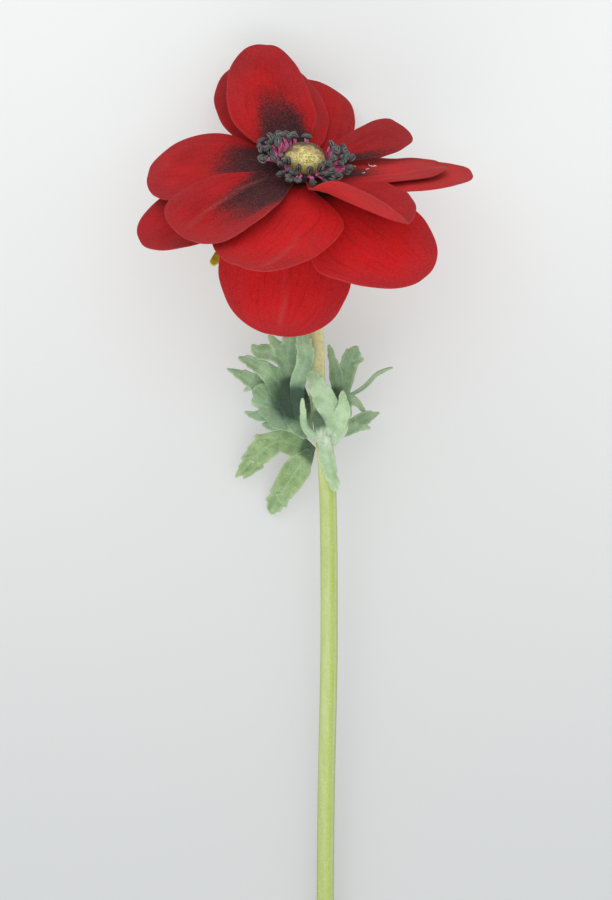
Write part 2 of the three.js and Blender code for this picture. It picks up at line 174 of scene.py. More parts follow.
def settled(source: bpy.types.Object, name: str) -> bpy.types.Object:
    """Returns what an object's modifiers make of it as a plain mesh piece, in the object's stead."""
    depsgraph = bpy.context.evaluated_depsgraph_get()
    mesh = bpy.data.meshes.new_from_object(source.evaluated_get(depsgraph))
    source.modifiers.clear()
    bpy.data.objects.remove(source)
    mesh.name = name
    return linked(name, mesh)


@dataclass
class Shape:
    """A mesh in the making, in millimetres, with marks that say something of each of its points."""

    points: Points
    faces: list[tuple[int, ...]]
    marks: dict[str, np.ndarray] = field(default_factory=dict)
    edges: list[tuple[int, int]] = field(default_factory=list)

    @classmethod
    def joined(cls, shapes: "Sequence[Shape]") -> "Shape":
        """Returns several shapes as one, each still a body of its own, with the marks of the first."""
        faces, start = [], 0
        for shape in shapes:
            faces += [tuple(v + start for v in face) for face in shape.faces]
            start += len(shape.points)
        marks = {name: np.concatenate([shape.marks[name] for shape in shapes]) for name in shapes[0].marks}
        return cls(np.concatenate([shape.points for shape in shapes]), faces, marks)

    @classmethod
    def lines(cls, lines: Sequence[Points]) -> "Shape":
        """Returns bare lines, each through its own points."""
        edges, start = [], 0
        for line in lines:
            edges += [(start + k, start + k + 1) for k in range(len(line) - 1)]
            start += len(line)
        return cls(np.concatenate(lines), [], edges=edges)

    def made(self, name: str) -> bpy.types.Object:
        """Returns the shape as an object in metres, smooth, with its marks as attributes of its points."""
        mesh = bpy.data.meshes.new(name)
        mesh.from_pydata((self.points * MM).tolist(), self.edges, self.faces)
        marked(mesh, self.marks)
        if self.faces:
            mesh.shade_smooth()
        return linked(name, mesh)


def blade(surface: Surface, rows: np.ndarray, columns: np.ndarray, half: Callable) -> Shape:
    """Closes a thin body round a middle surface.

    Args:
        surface: The middle surface, over shares along it (0 to 1) and across it (-1 to 1).
        rows: The shares along it.
        columns: The shares across it.
        half: Half its thickness, over the same shares.

    Returns:
        The closed body, whose marks "along" and "across" say where each point lies on the surface.
    """
    s, t = np.meshgrid(rows, columns, indexing="ij")
    step = 1e-3
    along = surface(np.minimum(1, s + step), t) - surface(np.maximum(0, s - step), t)
    across = surface(s, t + step) - surface(s, t - step)
    lift = unit(np.cross(along, across)) * half(s, t)[..., None]
    middle = surface(s, t)
    points = np.concatenate([(middle + lift).reshape(-1, 3), (middle - lift).reshape(-1, 3)])
    wide, high = len(columns), len(rows)
    a = (np.arange(high - 1)[:, None] * wide + np.arange(wide - 1)).ravel()
    under = a + high * wide
    faces = np.stack([a, a + wide, a + wide + 1, a + 1], 1).tolist()
    faces += np.stack([under, under + 1, under + wide + 1, under + wide], 1).tolist()
    last = (high - 1) * wide
    rim = [(j + 1, j) for j in range(wide - 1)] + [(last + j, last + j + 1) for j in range(wide - 1)]
    for i in range(0, last, wide):
        rim += [(i, i + wide), (i + 2 * wide - 1, i + wide - 1)]
    faces += [(p, p + high * wide, q + high * wide, q) for p, q in rim]
    marks = {"along": np.tile(s.ravel(), 2), "across": np.tile(t.ravel(), 2)}
    return Shape(points, [tuple(face) for face in faces], marks)


def ringed(rings: int, sides: int, closed: bool = False) -> list[tuple[int, ...]]:
    """Returns the faces between rings of points.

    Args:
        rings: The number of rings, whose points follow one another.
        sides: The number of points in each.
        closed: Whether the last ring is tied to the first.

    Returns:
        The faces, outward where a ring runs counter-clockwise round the way to the next.
    """
    faces = []
    for i in range(rings if closed else rings - 1):
        low, high = i * sides, (i + 1) % rings * sides
        for k in range(sides):
            after = (k + 1) % sides
            faces.append((low + k, low + after, high + after, high + k))
    return faces


def tube(rings: Points, radii: np.ndarray, sides: int) -> Shape:
    """Closes a round body on a line.

    Args:
        rings: The places of its rings.
        radii: The radius at each ring and side.
        sides: The number of its sides.

    Returns:
        The closed body, whose marks "along" and "around" are shares of its length and of a turn.
    """
    along = unit(np.gradient(rings, axis=0))
    right = unit(np.cross(along, [0, 0, 1]))
    up = np.cross(right, along)
    turn = np.arange(sides) / sides
    angle = 2 * math.pi * turn[:, None]
    aside = right[:, None] * np.cos(angle) + up[:, None] * np.sin(angle)
    points = rings[:, None] + radii[..., None] * aside
    count = len(rings)
    faces = [(a, d, c, b) for a, b, c, d in ringed(count, sides)]
    faces += [tuple(range(sides)), tuple(reversed(range((count - 1) * sides, count * sides)))]
    marks = {"along": np.repeat(np.linspace(0, 1, count), sides), "around": np.tile(turn, count)}
    return Shape(points.reshape(-1, 3), faces, marks)


def revolved(profile: Sequence[tuple[float, float]], segments: int, closed: bool = False) -> Shape:
    """Turns a profile about the bloom's axis.

    Args:
        profile: Pairs of radius and height, counter-clockwise; an open one starts and ends on the axis.
        segments: The number of steps in the turn.
        closed: Whether the profile runs back to its start, round a ring.

    Returns:
        The closed body.
    """
    inner = list(profile) if closed else list(profile)[1:-1]
    angle = np.arange(segments) * 360 / segments
    points = [BLOOM.centre + BLOOM.outwards(angle) * radius + BLOOM.axis * height for radius, height in inner]
    faces = ringed(len(inner), segments, closed)
    if not closed:
        foot, top = len(inner) * segments, len(inner) * segments + 1
        points += [BLOOM.at(0, 0, profile[0][1])[None], BLOOM.at(0, 0, profile[-1][1])[None]]
        last = (len(inner) - 1) * segments
        faces += [((k + 1) % segments, k, foot) for k in range(segments)]
        faces += [(last + k, last + (k + 1) % segments, top) for k in range(segments)]
    return Shape(np.concatenate(points), faces)


Color = tuple[float, float, float, float]


def tint(red: int, green: int, blue: int) -> Color:
    """Returns a colour given in the usual 0 to 255 as the linear one that a shader takes."""
    shares = (red / 255, green / 255, blue / 255)
    return (*(c / 12.92 if c <= 0.04 else ((c + 0.055) / 1.055) ** 2.4 for c in shares), 1)


class Value:
    """A socket of a node graph. Python's operators on it add Math nodes."""

    def __init__(self, graph: "Graph", socket: bpy.types.NodeSocket) -> None:
        """Wraps an output socket of a graph."""
        self.graph = graph
        self.socket = socket

    def _math(self, operation: str, *values: "Value | float") -> "Value":
        """Returns a Math node's result on the given values."""
        node = self.graph.node("ShaderNodeMath", dict(enumerate(values)), operation=operation)
        return Value(self.graph, node.outputs[0])

    def __add__(self, other: "Value | float") -> "Value":
        """Returns self + other."""
        return self._math("ADD", self, other)

    __radd__ = __add__

    def __sub__(self, other: "Value | float") -> "Value":
        """Returns self - other."""
        return self._math("SUBTRACT", self, other)

    def __rsub__(self, other: "Value | float") -> "Value":
        """Returns other - self."""
        return self._math("SUBTRACT", other, self)

    def __mul__(self, other: "Value | float") -> "Value":
        """Returns self * other."""
        return self._math("MULTIPLY", self, other)

    __rmul__ = __mul__

    def ramp(self, low: float, high: float) -> "Value":
        """Returns a smooth step from 0 at low to 1 at high, which may be the smaller one."""
        spans = {"Value": self, "From Min": low, "From Max": high}
        node = self.graph.node("ShaderNodeMapRange", spans, interpolation_type="SMOOTHSTEP")
        return Value(self.graph, node.outputs["Result"])

    def near(self, middle: float, inner: float, outer: float) -> "Value":
        """Returns 1 where self is within inner of the middle, and less as far as outer, where it is 0."""
        return self._math("ABSOLUTE", self - middle).ramp(outer, inner)


class Graph:
    """A node tree that is written as Python expressions."""

    def __init__(self, tree: bpy.types.NodeTree) -> None:
        """Starts on an empty tree."""
        self.tree = tree

    def node(self, kind: str, values: dict | None = None, **settings: object) -> bpy.types.Node:
        """Adds a node.

        Args:
            kind: Its type.
            values: What goes into its sockets, as fill takes it.
            **settings: Its own properties, set first.

        Returns:
            The node.
        """
        made = self.tree.nodes.new(kind)
        for name, value in settings.items():
            setattr(made, name, value)
        self.fill(made, values or {})
        return made

    def fill(self, node: bpy.types.Node, values: dict) -> None:
        """Sets a node's sockets, by name or index, to numbers, colours or other sockets."""
        for name, value in values.items():
            if isinstance(value, (Value, bpy.types.NodeSocket)):
                self.tree.links.new(getattr(value, "socket", value), node.inputs[name])
            else:
                node.inputs[name].default_value = value


class Paint(Graph):
    """A material's graph, with the patterns that the flower's surfaces share."""

    def __init__(self, name: str) -> None:
        """Starts a material with a Principled BSDF."""
        self.material = bpy.data.materials.new(name)
        self.material.use_nodes = True
        super().__init__(self.material.node_tree)
        self.tree.nodes.clear()
        self.shader = self.node("ShaderNodeBsdfPrincipled")
        self.node("ShaderNodeOutputMaterial", {"Surface": self.shader.outputs[0]})
        self.place = self.node("ShaderNodeTexCoord").outputs["Object"]

    def mark(self, name: str) -> Value:
        """Returns an attribute of the piece."""
        return Value(self, self.node("ShaderNodeAttribute", attribute_name=name).outputs["Fac"])

    def noise(self, size: float, detail: float = 2, stretch: tuple[float, ...] = (1, 1, 1)) -> Value:
        """Returns a cloudy pattern.

        Args:
            size: The size of its patches in millimetres.
            detail: How many finer layers it has.
            stretch: How much finer it is along each axis.

        Returns:
            Its value, mostly between 0.3 and 0.7.
        """
        place = self.node("ShaderNodeMapping", {"Vector": self.place, "Scale": stretch}).outputs[0]
        values = {"Vector": place, "Scale": 1 / (size * MM), "Detail": detail}
        return Value(self, self.node("ShaderNodeTexNoise", values).outputs["Fac"])

    def streaks(self, across: Value, along: Value) -> Value:
        """Returns a cloudy pattern over two values of a piece's own, such as its marks."""
        place = self.node("ShaderNodeCombineXYZ", {0: across, 1: along}).outputs[0]
        values = {"Vector": place, "Scale": 1.0}
        return Value(self, self.node("ShaderNodeTexNoise", values).outputs["Fac"])

    def mixed(self, share: Value, first: Color | Value, second: Color | Value) -> Value:
        """Returns the blend of two colours, with the second one's share held between 0 and 1."""
        values = {0: share, 6: first, 7: second}
        return Value(self, self.node("ShaderNodeMix", values, data_type="RGBA", clamp_factor=True).outputs[2])

    def layered(self, tone: Value, *layers: tuple[Value, Color]) -> Value:
        """Returns a colour under further ones, each laid over the last with its share."""
        for share, color in layers:
            tone = self.mixed(share, tone, color)
        return tone

    def finished(
        self, color: Value, relief: Value | None, depth: float, **sockets: float | Color | Value
    ) -> bpy.types.Material:
        """Fills in the shader.

        Args:
            color: The base colour.
            relief: The height pattern, from 0 to 1, or None on a flat surface.
            depth: What a step of 1 in it stands for, in millimetres.
            **sockets: Other sockets of the shader, with underscores for the spaces in their names.

        Returns:
            The material.
        """
        if relief is not None:
            bump = {"Height": relief, "Distance": depth * MM, "Strength": 1.0}
            sockets["Normal"] = self.node("ShaderNodeBump", bump).outputs[0]
        sockets["Base_Color"] = color
        self.fill(self.shader, {name.replace("_", " "): value for name, value in sockets.items()})
        return self.material


@dataclass(frozen=True)
class Velvet:
    """The petals' red cloth: a short pile, dusty towards the rims, a foot sprayed dark, and painted light and
    shade by each petal's tone.
    """

    deep: Color = tint(152, 14, 18)
    bright: Color = tint(194, 19, 24)
    painted_lit_red: Color = tint(222, 28, 31)
    back: Color = tint(222, 62, 62)
    dusty: Color = tint(156, 44, 48)
    dark: Color = tint(114, 14, 18)
    rim: Color = tint(166, 82, 80)
    foot: Color = tint(66, 24, 28)
    soot: Color = tint(36, 24, 27)
    speck: Color = tint(112, 76, 78)
    bloom: Color = tint(255, 150, 140)

    def made(self) -> bpy.types.Material:
        """Returns the material.

        Its marks: "foot" the spray, "edge" the rim, "nap" the dusty margin, "fold" a crease's ridge, "tone"
        the painted light and shade of each petal, "outer" the petal's back, and "along" and "across" the
        place on it.
        """
        paint = Paint("velvet")
        foot, painted_light = paint.mark("foot"), paint.mark("tone")
        fibres = paint.streaks(paint.mark("across") * 13, paint.mark("along") * 3)
        wear, pile = paint.noise(1.1, 3), paint.noise(0.42)
        sprayed = (foot + (paint.noise(0.55, 3) - 0.5) * 1.5).ramp(0.08, 0.7) * foot.ramp(0.0, 0.15)
        soot = (foot + (paint.noise(0.7, 3) - 0.5) * 1.6).ramp(0.5, 1.0)
        dots = paint.noise(0.38, 1).ramp(0.56, 0.68) * foot.ramp(0.2, 0.7)
        cloth = paint.layered(
            paint.mixed(paint.noise(11).ramp(0.3, 0.7) * 0.6 + 0.3, self.deep, self.bright),
            # painted light and shade: a tone above 0 paints the petal a brighter red, as if lit, and one
            # below 0 darker, as if in shade
            (painted_light * 0.65, self.painted_lit_red),
            (painted_light * -0.6, self.dark),
            (paint.mark("outer") * 0.5, self.back),
            (fibres.ramp(0.5, 0.75) * 0.35, self.dusty),
            (fibres.ramp(0.5, 0.3) * 0.3, self.dark),
            (paint.mark("nap") * 0.7, self.dusty),
            (wear.ramp(0.5, 0.7) * 0.25, self.dusty),
            (wear.ramp(0.5, 0.32) * 0.15, self.dark),
            (pile.ramp(0.52, 0.75) * 0.2, self.rim),
            (pile.ramp(0.48, 0.28) * 0.28, self.dark),
            (sprayed * 0.88, self.foot),
            (soot * 0.8, self.soot),
            (dots * 0.5, self.speck),
            (paint.mark("fold") * 0.35, self.rim),
            (paint.mark("edge") * 0.18, self.rim),
        )
        sheen = {"Sheen_Weight": 0.2, "Sheen_Roughness": 0.4, "Sheen_Tint": self.bloom}
        relief = pile * 0.5 + wear * 0.3
        return paint.finished(cloth, relief, 0.09, Roughness=0.88, Specular_IOR_Level=0.18, **sheen)


@dataclass(frozen=True)
class Suede:
    """The leaves' downy sage green, with pale edges and ribs, and painted shade in their hollows."""

    name: str = "suede"
    light: Color = tint(156, 184, 144)
    dark: Color = tint(116, 148, 110)
    blue: Color = tint(116, 146, 130)
    edge: Color = tint(192, 206, 168)
    collar: Color = tint(208, 210, 194)
    shade: Color = tint(46, 66, 56)

    def made(self) -> bpy.types.Material:
        """Returns the material. Its marks: "edge", "rib", the painted shade of the leaf's hollow, and
        "collar".
        """
        paint = Paint(self.name)
        down = paint.noise(0.34)
        painted_hollow_shade = paint.mark("painted_hollow_shade") + (paint.noise(3) - 0.5) * 0.5
        scars = paint.noise(1.2, 2, (1, 0.35, 1)).ramp(0.4, 0.6)
        leaf = paint.layered(
            paint.mixed(paint.noise(4.5, 3).ramp(0.3, 0.7), self.dark, self.light),
            (paint.noise(9, 1).ramp(0.4, 0.7) * 0.4, self.blue),
            (down.ramp(0.5, 0.75) * 0.4, self.edge),
            (down.ramp(0.48, 0.28) * 0.45, self.dark),
            (paint.mark("rib") * 0.15, self.edge),
            # painted shade: the leaf's hollow and the gaps between its lobes are painted dark
            (painted_hollow_shade.ramp(0.05, 0.8) * 0.88, self.shade),
            (paint.mark("collar") * (scars * 0.6 + 0.15), self.collar),
            (paint.mark("edge") * 0.35, self.edge),
        )
        relief = down * 0.6 + paint.noise(1.4) * 0.7
        return paint.finished(leaf, relief, 0.1, Roughness=0.9, Specular_IOR_Level=0.15, Sheen_Weight=0.12)


@dataclass(frozen=True)
class StemSkin:
    """The stem's pale yellow-green, with lengthwise a lime stripe, a pale band, a brownish seam and a strip
    of painted shade.

    Each lies at a share of a turn round the stem, which counts from the picture's left, over the top.
    """

    pale: Color = tint(194, 206, 156)
    fresh: Color = tint(168, 182, 106)
    far: Color = tint(146, 160, 82)
    lime: Color = tint(162, 182, 72)
    seam: Color = tint(176, 170, 132)
    cream: Color = tint(230, 230, 170)
    blush: Color = tint(196, 172, 136)
    # painted shade for the stem's head, deep in the bloom
    head: Color = tint(92, 62, 40)
    shade: Color = tint(74, 90, 62)
    stripe_at: float = 0.31
    band_at: float = 0.385
    seam_at: float = 0.465
    shade_at: float = 0.1

    def made(self) -> bpy.types.Material:
        """Returns the material. Its marks: "around", and "along" from the stem's head to its cut end."""
        paint = Paint("stem_skin")
        around, along = paint.mark("around"), paint.mark("along")
        streaks, down = paint.noise(1.2, 3, (1, 0.08, 1)), paint.noise(0.35)
        stripe = (around + (streaks - 0.5) * 0.05).near(self.stripe_at, 0.015, 0.06)
        seam = around.near(self.seam_at, 0.01, 0.05) * along.ramp(0.35, 0.6)
        blush = paint.noise(6).ramp(0.5, 0.62) * along.ramp(0.34, 0.26)
        # painted shade: the stem's left side, in the gap among the leaves of the ruff, is painted dark green
        painted_stem_shade = along.ramp(0.225, 0.26) * along.ramp(0.315, 0.29) * around.near(self.shade_at, 0.05, 0.1)
        skin = paint.layered(
            paint.mixed(streaks.ramp(0.35, 0.65) * 0.35 + 0.12, self.fresh, self.pale),
            (along.ramp(0.5, 0.95) * 0.7, self.far),
            (stripe * 0.8, self.lime),
            (around.near(self.band_at, 0.015, 0.045) * 0.6, self.pale),
            (seam * 0.75, self.seam),
            (along.ramp(0.36, 0.28) * 0.8, self.cream),
            (blush * 0.3, self.blush),
            (down.ramp(0.45, 0.7) * 0.5, self.pale),
            (paint.noise(1.1, 3).ramp(0.5, 0.3) * 0.4, self.fresh),
            # painted shade: the stem's head, deep in the bloom below the ring and the dome, is painted dark
            # brown
            (along.ramp(0.03, 0.012), self.head),
            (painted_stem_shade * 0.7, self.shade),
        )
        return paint.finished(skin, down * 0.5 + streaks, 0.08, Roughness=0.72, Specular_IOR_Level=0.25)


@dataclass(frozen=True)
class Plain:
    """A finish of two tones in patches, over a fine grain of the second."""

    name: str
    first: Color
    second: Color
    patch: float
    grain: float
    depth: float = 0.05
    roughness: float = 0.6
    specular: float = 0.4

    def made(self) -> bpy.types.Material:
        """Returns the material."""
        paint = Paint(self.name)
        grain = paint.noise(self.grain)
        tone = paint.layered(
            paint.mixed(paint.noise(self.patch, 3).ramp(0.38, 0.62), self.first, self.second),
            (grain.ramp(0.5, 0.75) * 0.4, self.second),
        )
        sockets = {"Roughness": self.roughness, "Specular_IOR_Level": self.specular}
        return paint.finished(tone, grain, self.depth, **sockets)


@dataclass(frozen=True)
class DomeGrain:
    """The centre's straw yellow, specked dark, olive in front and smudged at the back."""

    straw: Color = tint(202, 186, 106)
    light: Color = tint(232, 221, 160)
    olive: Color = tint(146, 134, 40)
    blush: Color = tint(176, 128, 108)
    smudge: Color = tint(62, 48, 48)
    speck: Color = tint(90, 80, 44)

    def made(self) -> bpy.types.Material:
        """Returns the material. Its marks: "back" from -1 in front to 1 at the back, and "low"."""
        paint = Paint("dome_grain")
        back = paint.mark("back")
        rim = back + (paint.noise(1.8) - 0.5) * 1.2
        grain = paint.noise(0.4)
        tone = paint.layered(
            paint.mixed(paint.noise(0.8, 3).ramp(0.35, 0.65), self.straw, self.light),
            (paint.mark("low") * (0.4 - back * 0.4), self.olive),
            (rim.ramp(-0.5, -0.15) * 0.6, self.blush),
            (rim.ramp(-0.28, 0.12) * 0.85, self.smudge),
            (grain.ramp(0.48, 0.3) * 0.7, self.olive),
            (paint.noise(0.5, 1).ramp(0.6, 0.66) * 0.7, self.speck),
        )
        return paint.finished(tone, grain, 0.14, Roughness=0.8, Specular_IOR_Level=0.2)


@dataclass(frozen=True)
class AntherSkin:
    """The anthers' dark grey, worn pale in patches, with a painted highlight on the lips of the groove
    between their lobes and painted shade, near black, in the groove.
    """

    body: Color = tint(68, 69, 69)
    painted_groove_shade: Color = tint(13, 13, 16)
    wear_and_highlight: Color = tint(146, 149, 143)

    def made(self) -> bpy.types.Material:
        """Returns the material. The mark "groove" says where the groove is."""
        paint = Paint("anther_skin")
        groove = paint.mark("groove")
        tone = paint.layered(
            paint.mixed(paint.noise(1.8).ramp(0.4, 0.75) * 0.35, self.body, self.wear_and_highlight),
            # painted highlight on the lips of the groove
            (groove.near(0.3, 0.05, 0.3) * paint.noise(1.0).ramp(0.4, 0.6) * 0.7, self.wear_and_highlight),
            # painted shade, near black, in the groove
            (groove.ramp(0.5, 0.8) * 0.95, self.painted_groove_shade),
        )
        return paint.finished(tone, paint.noise(0.3), 0.05, Roughness=0.6, Specular_IOR_Level=0.3)


RING_SKIN = Plain("ring_skin", tint(34, 26, 30), tint(60, 46, 52), 0.9, 0.3, 0.05, 0.7, 0.3)
LINT = Plain("lint", tint(222, 216, 212), tint(240, 238, 234), 1.5, 0.4, 0.0, 0.5, 0.4)
PINK_THREAD = Plain("pink_thread", tint(208, 72, 132), tint(244, 146, 190), 1.4, 0.4, 0.03, 0.45, 0.5)
CALYX_SKIN = Plain("calyx_skin", tint(150, 140, 12), tint(190, 184, 40), 2.5, 0.5, 0.06, 0.6, 0.35)
PALE_DOWN = Plain("pale_down", tint(206, 214, 178), tint(226, 230, 204), 3.0, 0.6, 0.0, 0.8, 0.2)
SAGE_DOWN = Plain("sage_down", tint(140, 168, 138), tint(168, 190, 162), 3.0, 0.6, 0.0, 0.8, 0.2)


@dataclass(frozen=True)
class TableTop:
    """The plain pale table, painted a little darker towards the viewer as a falloff of the light."""

    far: Color = tint(190, 192, 190)
    near: Color = tint(146, 149, 148)
    painted_glow: float = 0.3
    span: tuple[float, float] = (-0.14, 0.2)

    def made(self) -> bpy.types.Material:
        """Returns the material, which glows a little as painted light that lightens the shadows on the table.
        """
        paint = Paint("table")
        depth = Value(paint, paint.node("ShaderNodeSeparateXYZ", {0: paint.place}).outputs["Y"])
        # painted light: the table is painted darker towards the viewer, as the light falls off
        tone = paint.mixed(depth.ramp(*self.span), self.near, self.far)
        # painted light: a faint glow over the whole table lightens the shadows on it
        painted_glow = {"Emission_Color": (1, 1, 1, 1), "Emission_Strength": self.painted_glow}
        return paint.finished(tone, None, 0, Roughness=0.95, Specular_IOR_Level=0.05, **painted_glow)


class Grower(Graph):
    """A Geometry Nodes tree that grows something on an object, with named inputs."""

    def __init__(self, name: str, inputs: dict[str, str]) -> None:
        """Starts a tree.

        Args:
            name: The tree's name.
            inputs: Its own inputs, each with the type of its socket.
        """
        super().__init__(bpy.data.node_groups.new(name, "GeometryNodeTree"))
        face = self.tree.interface
        face.new_socket(name="Geometry", in_out="INPUT", socket_type="NodeSocketGeometry")
        self.sockets = {
            label: face.new_socket(name=label, in_out="INPUT", socket_type=f"NodeSocket{kind}")
            for label, kind in {**inputs, "Material": "Material"}.items()
        }
        face.new_socket(name="Geometry", in_out="OUTPUT", socket_type="NodeSocketGeometry")
        self.given = self.node("NodeGroupInput").outputs

    def random(self, low: float | tuple, high: float | tuple, salt: int) -> bpy.types.NodeSocket:
        """Returns a random number or vector for each element, from a fixed seed."""
        vector = isinstance(low, tuple)
        first, second, out = (0, 1, 0) if vector else (2, 3, 1)
        kind = "FLOAT_VECTOR" if vector else "FLOAT"
        values = {first: low, second: high, "Seed": salt}
        return self.node("FunctionNodeRandomValue", values, data_type=kind).outputs[out]

    def attribute(self, name: str, kind: str) -> bpy.types.NodeSocket:
        """Returns an attribute of the geometry, of the given kind."""
        return self.node("GeometryNodeInputNamedAttribute", {"Name": name}, data_type=kind).outputs[0]

    def turned(self, values: dict, **settings: str) -> bpy.types.NodeSocket:
        """Returns the rotation that turns an axis to a vector."""
        return self.node("FunctionNodeAlignRotationToVector", values, **settings).outputs[0]

    def planted(self, spots: dict) -> None:
        """Closes the tree with an instance on each point."""
        self.ends(self.node("GeometryNodeInstanceOnPoints", spots).outputs[0])

    def ends(self, geometry: bpy.types.NodeSocket) -> None:
        """Closes the tree: real geometry, smooth, in the given material."""
        real = self.node("GeometryNodeRealizeInstances", {"Geometry": geometry}).outputs[0]
        smooth = self.node("GeometryNodeSetShadeSmooth", {"Geometry": real}).outputs[0]
        values = {"Geometry": smooth, "Material": self.given["Material"]}
        dressed = self.node("GeometryNodeSetMaterial", values).outputs[0]
        self.node("NodeGroupOutput", {"Geometry": dressed})

    def grown(self, name: str, host: bpy.types.Object, **values: object) -> bpy.types.Object:
        """Grows the tree on an object.

        Args:
            name: The new piece's name.
            host: The object whose geometry it grows on, which stays as it is.
            **values: The tree's inputs, with underscores for the spaces in their names.

        Returns:
            The new piece, a plain mesh.
        """
        seedbed = linked(name + "_seedbed", host.data)
        modifier = seedbed.modifiers.new("grow", "NODES")
        modifier.node_group = self.tree
        for label, value in values.items():
            modifier[self.sockets[label.replace("_", " ")].identifier] = value
        return settled(seedbed, name)


class Down(Grower):
    """Short hairs that stand on a surface."""

    LEAN = (0.7, 0.7, 0.7)
    SIZES = (0.6, 1.3)

    def __init__(self) -> None:
        """Builds the tree."""
        inputs = {"Density": "Float", "Hair Length": "Float", "Hair Radius": "Float", "Seed": "Int"}
        super().__init__("down", inputs)
        given = self.given
        spread = {"Mesh": given["Geometry"], "Density": given["Density"], "Seed": given["Seed"]}
        points = self.node("GeometryNodeDistributePointsOnFaces", spread).outputs
        sway = {0: points["Normal"], 1: self.random(tuple(-part for part in self.LEAN), self.LEAN, 11)}
        aim = self.node("ShaderNodeVectorMath", sway, operation="ADD").outputs[0]
        radius, length = given["Hair Radius"], given["Hair Length"]
        cone = {"Vertices": 3, "Radius Top": 0.0, "Radius Bottom": radius, "Depth": length}
        spots = {
            "Points": points["Points"],
            "Instance": self.node("GeometryNodeMeshCone", cone).outputs["Mesh"],
            "Rotation": self.turned({"Vector": aim}, axis="Z"),
            "Scale": self.random(*self.SIZES, 12),
        }
        self.planted(spots)


class Threads(Grower):
    """Round threads along the edges of a mesh."""

    def __init__(self) -> None:
        """Builds the tree."""
        super().__init__("threads", {"Thread Radius": "Float", "Sides": "Int"})
        given = self.given
        line = self.node("GeometryNodeMeshToCurve", {"Mesh": given["Geometry"]}).outputs[0]
        circle = {0: given["Sides"], "Radius": given["Thread Radius"]}
        ring = self.node("GeometryNodeCurvePrimitiveCircle", circle).outputs[0]
        sweep = {"Curve": line, "Profile Curve": ring, "Fill Caps": True}
        self.ends(self.node("GeometryNodeCurveToMesh", sweep).outputs[0])

    def drawn(
        self, name: str, lines: list[Points], finish: Plain, radius: float, sides: int
    ) -> bpy.types.Object:
        """Returns threads through the points of lines, of one radius in millimetres."""
        bed = Shape.lines(lines).made(name + "_lines")
        piece = self.grown(name, bed, Material=finish.made(), Thread_Radius=radius * MM, Sides=sides)
        bpy.data.objects.remove(bed)
        return piece


class Copies(Grower):
    """Copies of one object on points, turned to each point's "aim" and "face" and sized by its "size"."""

    def __init__(self) -> None:
        """Builds the tree."""
        super().__init__("copies", {"Copied": "Object"})
        given = self.given
        aim, face = (self.attribute(name, "FLOAT_VECTOR") for name in ("aim", "face"))
        turn = self.turned({"Vector": aim}, axis="X")
        copied = self.node("GeometryNodeObjectInfo", {"Object": given["Copied"]})
        spots = {
            "Points": given["Geometry"],
            "Instance": copied.outputs["Geometry"],
            "Rotation": self.turned({"Rotation": turn, "Vector": face}, axis="Z", pivot_axis="X"),
            "Scale": self.attribute("size", "FLOAT"),
        }
        self.planted(spots)


def seated(piece: bpy.types.Object, slot: Slot, material: bpy.types.Material | None, *nodes: str) -> None:
    """Hands a finished piece to the frame.

    Args:
        piece: The piece.
        slot: The record's slot; it is not used.
        material: Its material, or None if it has it already.
        *nodes: The CAD nodes that it stands for.
    """
    if material is not None:
        piece.data.materials.clear()
        piece.data.materials.append(material)
    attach(piece, BODY)
    if nodes:
        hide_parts(*nodes)
    log.info("%s: %d faces", piece.name, len(piece.data.polygons))


